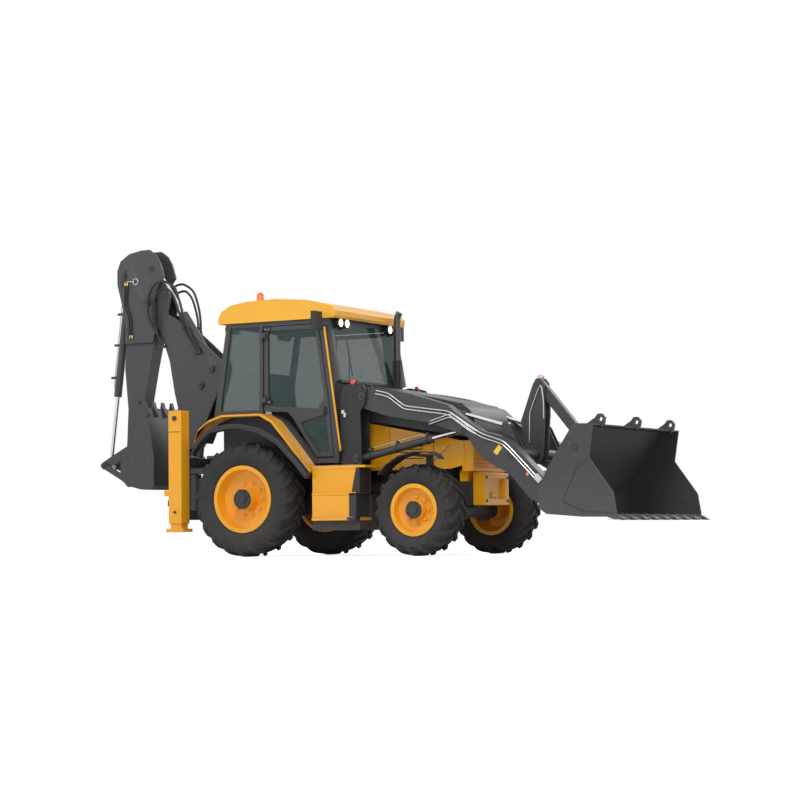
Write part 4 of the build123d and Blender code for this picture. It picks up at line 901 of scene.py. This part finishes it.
class DRESS_OT_trim(bpy.types.Operator):
    """Panel seams, treads and guards of the steps, markers, blank labels and wear plates"""
    bl_idname = "dress.trim"
    bl_label = "Trim and markers"

    def execute(self, context):
        seam_y, vent_y = COWL_FACE + 2.5, COWL_FACE + 4

        @both_sides
        def seams(work, side):
            for x, z0, z1 in ((1560, 975, 1500), (2120, 975, 1330)):
                brick(work, x, x + 5, COWL_FACE, seam_y, z0, z1, side)
            wedge(work, [(2120, 1060), (2330, 1230), (2334, 1226), (2124, 1056)], COWL_FACE, seam_y, side)
            for n in range(6):
                brick(work, 1700, 1990, COWL_FACE, vent_y, 1080 + 34 * n, 1092 + 34 * n, side)

        assemble("cowling_seams", "chassis", [("frame_black", seams)])
        ribs = 18

        @both_sides
        def treads(work, side):
            # height, front to back from x0 to x1, inner to outer from y0 to y1
            for z, x0, x1, y0, y1 in ((1012, 885, 1480, 790, 990), (701, 915, 1465, 1004, 1046),
                                      (433, 935, 1480, 1054, 1096)):
                for n in range(ribs):
                    x = x0 + (x1 - x0) * n / ribs
                    brick(work, x + 4, x + 20, y0, y1, z - 1, z + 5, side)

        @both_sides
        def ledges(work, side):
            for z, y in ((1008, 1000), (712, 1050)):
                brick(work, 905, 1470, y - 4, y + 6, z - 32, z - 2, side)

        assemble("step_treads", "chassis", [("yellow", ledges), ("steel", treads)], bevel=0.002)

        @both_sides
        def guard(work, side):
            wedge(work, [(1488, 984), (1491, 702), (1392, 702), (1402, 770), (1450, 984)], 1001, 1006, side)
            wedge(work, [(1478, 700), (1478, 434), (1386, 434), (1386, 700)], 1051, 1056, side)
            brick(work, 1386, 1494, 1000, 1102, 397, 434, side)
            brick(work, 1475, 1480, 760, 1056, 434, 700, side)
            brick(work, 1490, 1494, 760, 1006, 702, 984, side)

        assemble("step_guards", "chassis", [("plastic", guard)])

        def apex_lens(work):
            disc(work, place(3250, 0, 1958), 0.026, 0.05, segments=24)

        def apex_rims(work):
            for y in (-30, 30):
                disc(work, place(3250, y, 1958), 0.033, 0.010, segments=24)

        assemble("apex_lamp", "tilt_lever", [("red", apex_lens), ("pale", apex_rims)], bevel=0.002)

        @both_sides
        def markers(work, side):
            disc(work, place(1270, side * (TOWER_FACE + 7), 1950), 0.026, 0.022, segments=24)

        assemble("tower_lamps", "chassis", [("red", markers)], bevel=0.002)
        low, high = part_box("rear_fenders")
        lamp_x, top = (low.x - REAR_HUB.x) * 1000, high.z * 1000
        for name, side in SIDES:
            def label(work):
                wedge(work, [(3010, 1120), (3075, 1200), (3120, 1165), (3055, 1085)],
                      ARM_FACE, ARM_FACE + 2, side)

            # The arm's orange reflector takes the glowing orange finish, which gives it a painted glint
            # because it is no lamp
            def reflector(work):
                wedge(work, [(3395, 872), (3430, 915), (3455, 893), (3420, 850)],
                      ARM_FACE, ARM_FACE + 4, side)

            assemble("arm_label_" + name, "loader_arms",
                     [("label", label), ("orange", reflector)])

            def leg_marks(work):
                disc(work, place(-866, side * 1178, 1600), 0.028, 0.016)
                disc(work, place(-866, side * 1178, 520), 0.016, 0.014)
                brick(work, -950, -785, 1171, 1175, 1440, 1446, side)

            assemble("leg_marks_" + name, "stabiliser_leg_" + name,
                     [("iron", leg_marks)], bevel=0.002)

            def red_part(work):
                brick(work, lamp_x - 14, lamp_x + 8, 830, 960, top - 330, top - 285, side)

            def orange_part(work):
                brick(work, lamp_x - 14, lamp_x + 8, 830, 960, top - 283, top - 255, side)

            assemble("tail_lamp_" + name, "chassis",
                     [("red", red_part), ("orange", orange_part)], bevel=0.003)

        def bumper_face(work):
            for y in (-260, 260):
                for z in (600, 860):
                    disc(work, place(2694, y, z), 0.016, 0.014, "x", 6)

        assemble("bumper_bolts", "chassis", [("iron", bumper_face)], bevel=0.002)

        @both_sides
        def fitting(work, side):
            brick(work, 1128, 1160, TOWER_FACE + 1, TOWER_FACE + 23, 1600, 1640, side)
            disc(work, place(1168, side * (TOWER_FACE + 15), 1585), 0.016, 0.05, "z", 6)

        assemble("tower_fittings", "chassis", [("clear", fitting)], bevel=0.002)

        @both_sides
        def hood_strip(work, side):
            wedge(work, [(1162, 1850), (1162, 1815), (1420, 1770), (1420, 1800)], 430, 433, side)

        assemble("hood_strip", "hood", [("yellow", hood_strip)])
        plug_x, plug_z = 4201, 1129

        def edge(work):
            brick(work, 4556, 4700, -BUCKET_FACE - 2, BUCKET_FACE + 2, 366, 371)

        @both_sides
        def wear_plates(work, side):
            wedge(work, [(4321, 970), (4216, 905), (4046, 560), (4286, 462), (4600, 446), (4585, 640)],
                  BUCKET_FACE - 4, BUCKET_FACE + 2, side)
            disc(work, place(plug_x, side * (BUCKET_FACE + 1), plug_z), 0.021, 0.006, segments=6)

        seam = [(4323, 982), (4211, 912), (4037, 557), (4286, 451), (4620, 434)]

        @both_sides
        def plate_edges(work, side):
            for (x0, z0), (x1, z1) in zip(seam, seam[1:]):
                wedge(work, [(x0, z0), (x1, z1), (x1 + 17, z1 + 12), (x0 + 17, z0 + 12)],
                      BUCKET_FACE - 3, BUCKET_FACE + 3, side)
            disc(work, place(plug_x, side * BUCKET_FACE, plug_z), 0.036, 0.006)

        assemble("bucket_wear", "loader_bucket",
                 [("charcoal", wear_plates), ("plastic", plate_edges), ("steel", edge)],
                 bevel=0.001)
        return {"FINISHED"}


class DRESS_OT_seat(bpy.types.Operator):
    """Crowned seat cushion and back in woven cloth with sewn channels"""
    bl_idname = "dress.seat"
    bl_label = "Seat"

    def execute(self, context):
        # name, side outline from the front or foot corner round, half the width
        pads = (("seat_cushion", [(2, 1392), (438, 1392), (438, 1518), (2, 1518)], 232),
                ("seat_back", [(-2, 1424), (-100, 2136), (-218, 2136), (-116, 1424)], 222))
        for name, outline, half_w in pads:
            piece = self.pad(name, outline, half_w)
            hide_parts("seat_pads")
        return {"FINISHED"}

    def pad(self, name, outline, half_w):
        """A block whose faces swell between sewn channels and narrow at the edges."""
        a, b, c, d = (place(x, 0, z) for x, z in outline)
        steps = 14
        work = bmesh.new()
        bmesh.ops.create_cube(work, size=1)
        bmesh.ops.subdivide_edges(work, edges=work.edges[:], cuts=steps - 1, use_grid_fill=True)
        for v in work.verts:
            u, w, t = v.co.x * 2, v.co.y * 2, v.co.z * 2
            swell = (1 - abs(u) ** 2.6) * (1 - abs(w) ** 2.6)
            channel = 0.012 * sum(math.exp(-((w - mark) / 0.05) ** 2) for mark in (-0.42, 0.42))
            up = t * (0.72 + 0.28 * swell) - (channel * 18 * swell if t > 0.9 else 0)
            shrink = 1 - 0.045 * abs(t) ** 4
            s, q = (u * shrink + 1) / 2, (up + 1) / 2
            low, high = a.lerp(b, s), d.lerp(c, s)
            v.co = low.lerp(high, q) + Vector((0, w * shrink * half_w / 1000, 0))
        piece = keep_piece(work, name, "seat", "fabric", smooth=80)
        finer = piece.modifiers.new("soft", "SUBSURF")
        finer.levels = finer.render_levels = 1
        return piece


class DRESS_PT_panel(bpy.types.Panel):
    """Buttons for each group of pieces"""
    bl_idname = "DRESS_PT_panel"
    bl_label = "Backhoe loader"
    bl_space_type = "VIEW_3D"
    bl_region_type = "UI"
    bl_category = "Backhoe"

    def draw(self, context):
        for prop in DressSettings.__annotations__:
            self.layout.prop(context.scene.dress, prop)
        for operator in OPERATORS:
            self.layout.operator(operator.bl_idname)


OPERATORS = (DRESS_OT_stage, DRESS_OT_tyres, DRESS_OT_panels, DRESS_OT_wheels, DRESS_OT_pins, DRESS_OT_lines,
             DRESS_OT_cab, DRESS_OT_trim, DRESS_OT_seat)
CLASSES = (DressSettings, *OPERATORS, DRESS_PT_panel)


def register():
    for item in CLASSES:
        bpy.utils.register_class(item)
    bpy.types.Scene.dress = bpy.props.PointerProperty(type=DressSettings)


def unregister():
    del bpy.types.Scene.dress
    for item in reversed(CLASSES):
        bpy.utils.unregister_class(item)


def main():
    register()
    for operator in OPERATORS:
        group, action = operator.bl_idname.split(".")
        getattr(getattr(bpy.ops, group), action)()


if __name__ == "__main__":
    main()
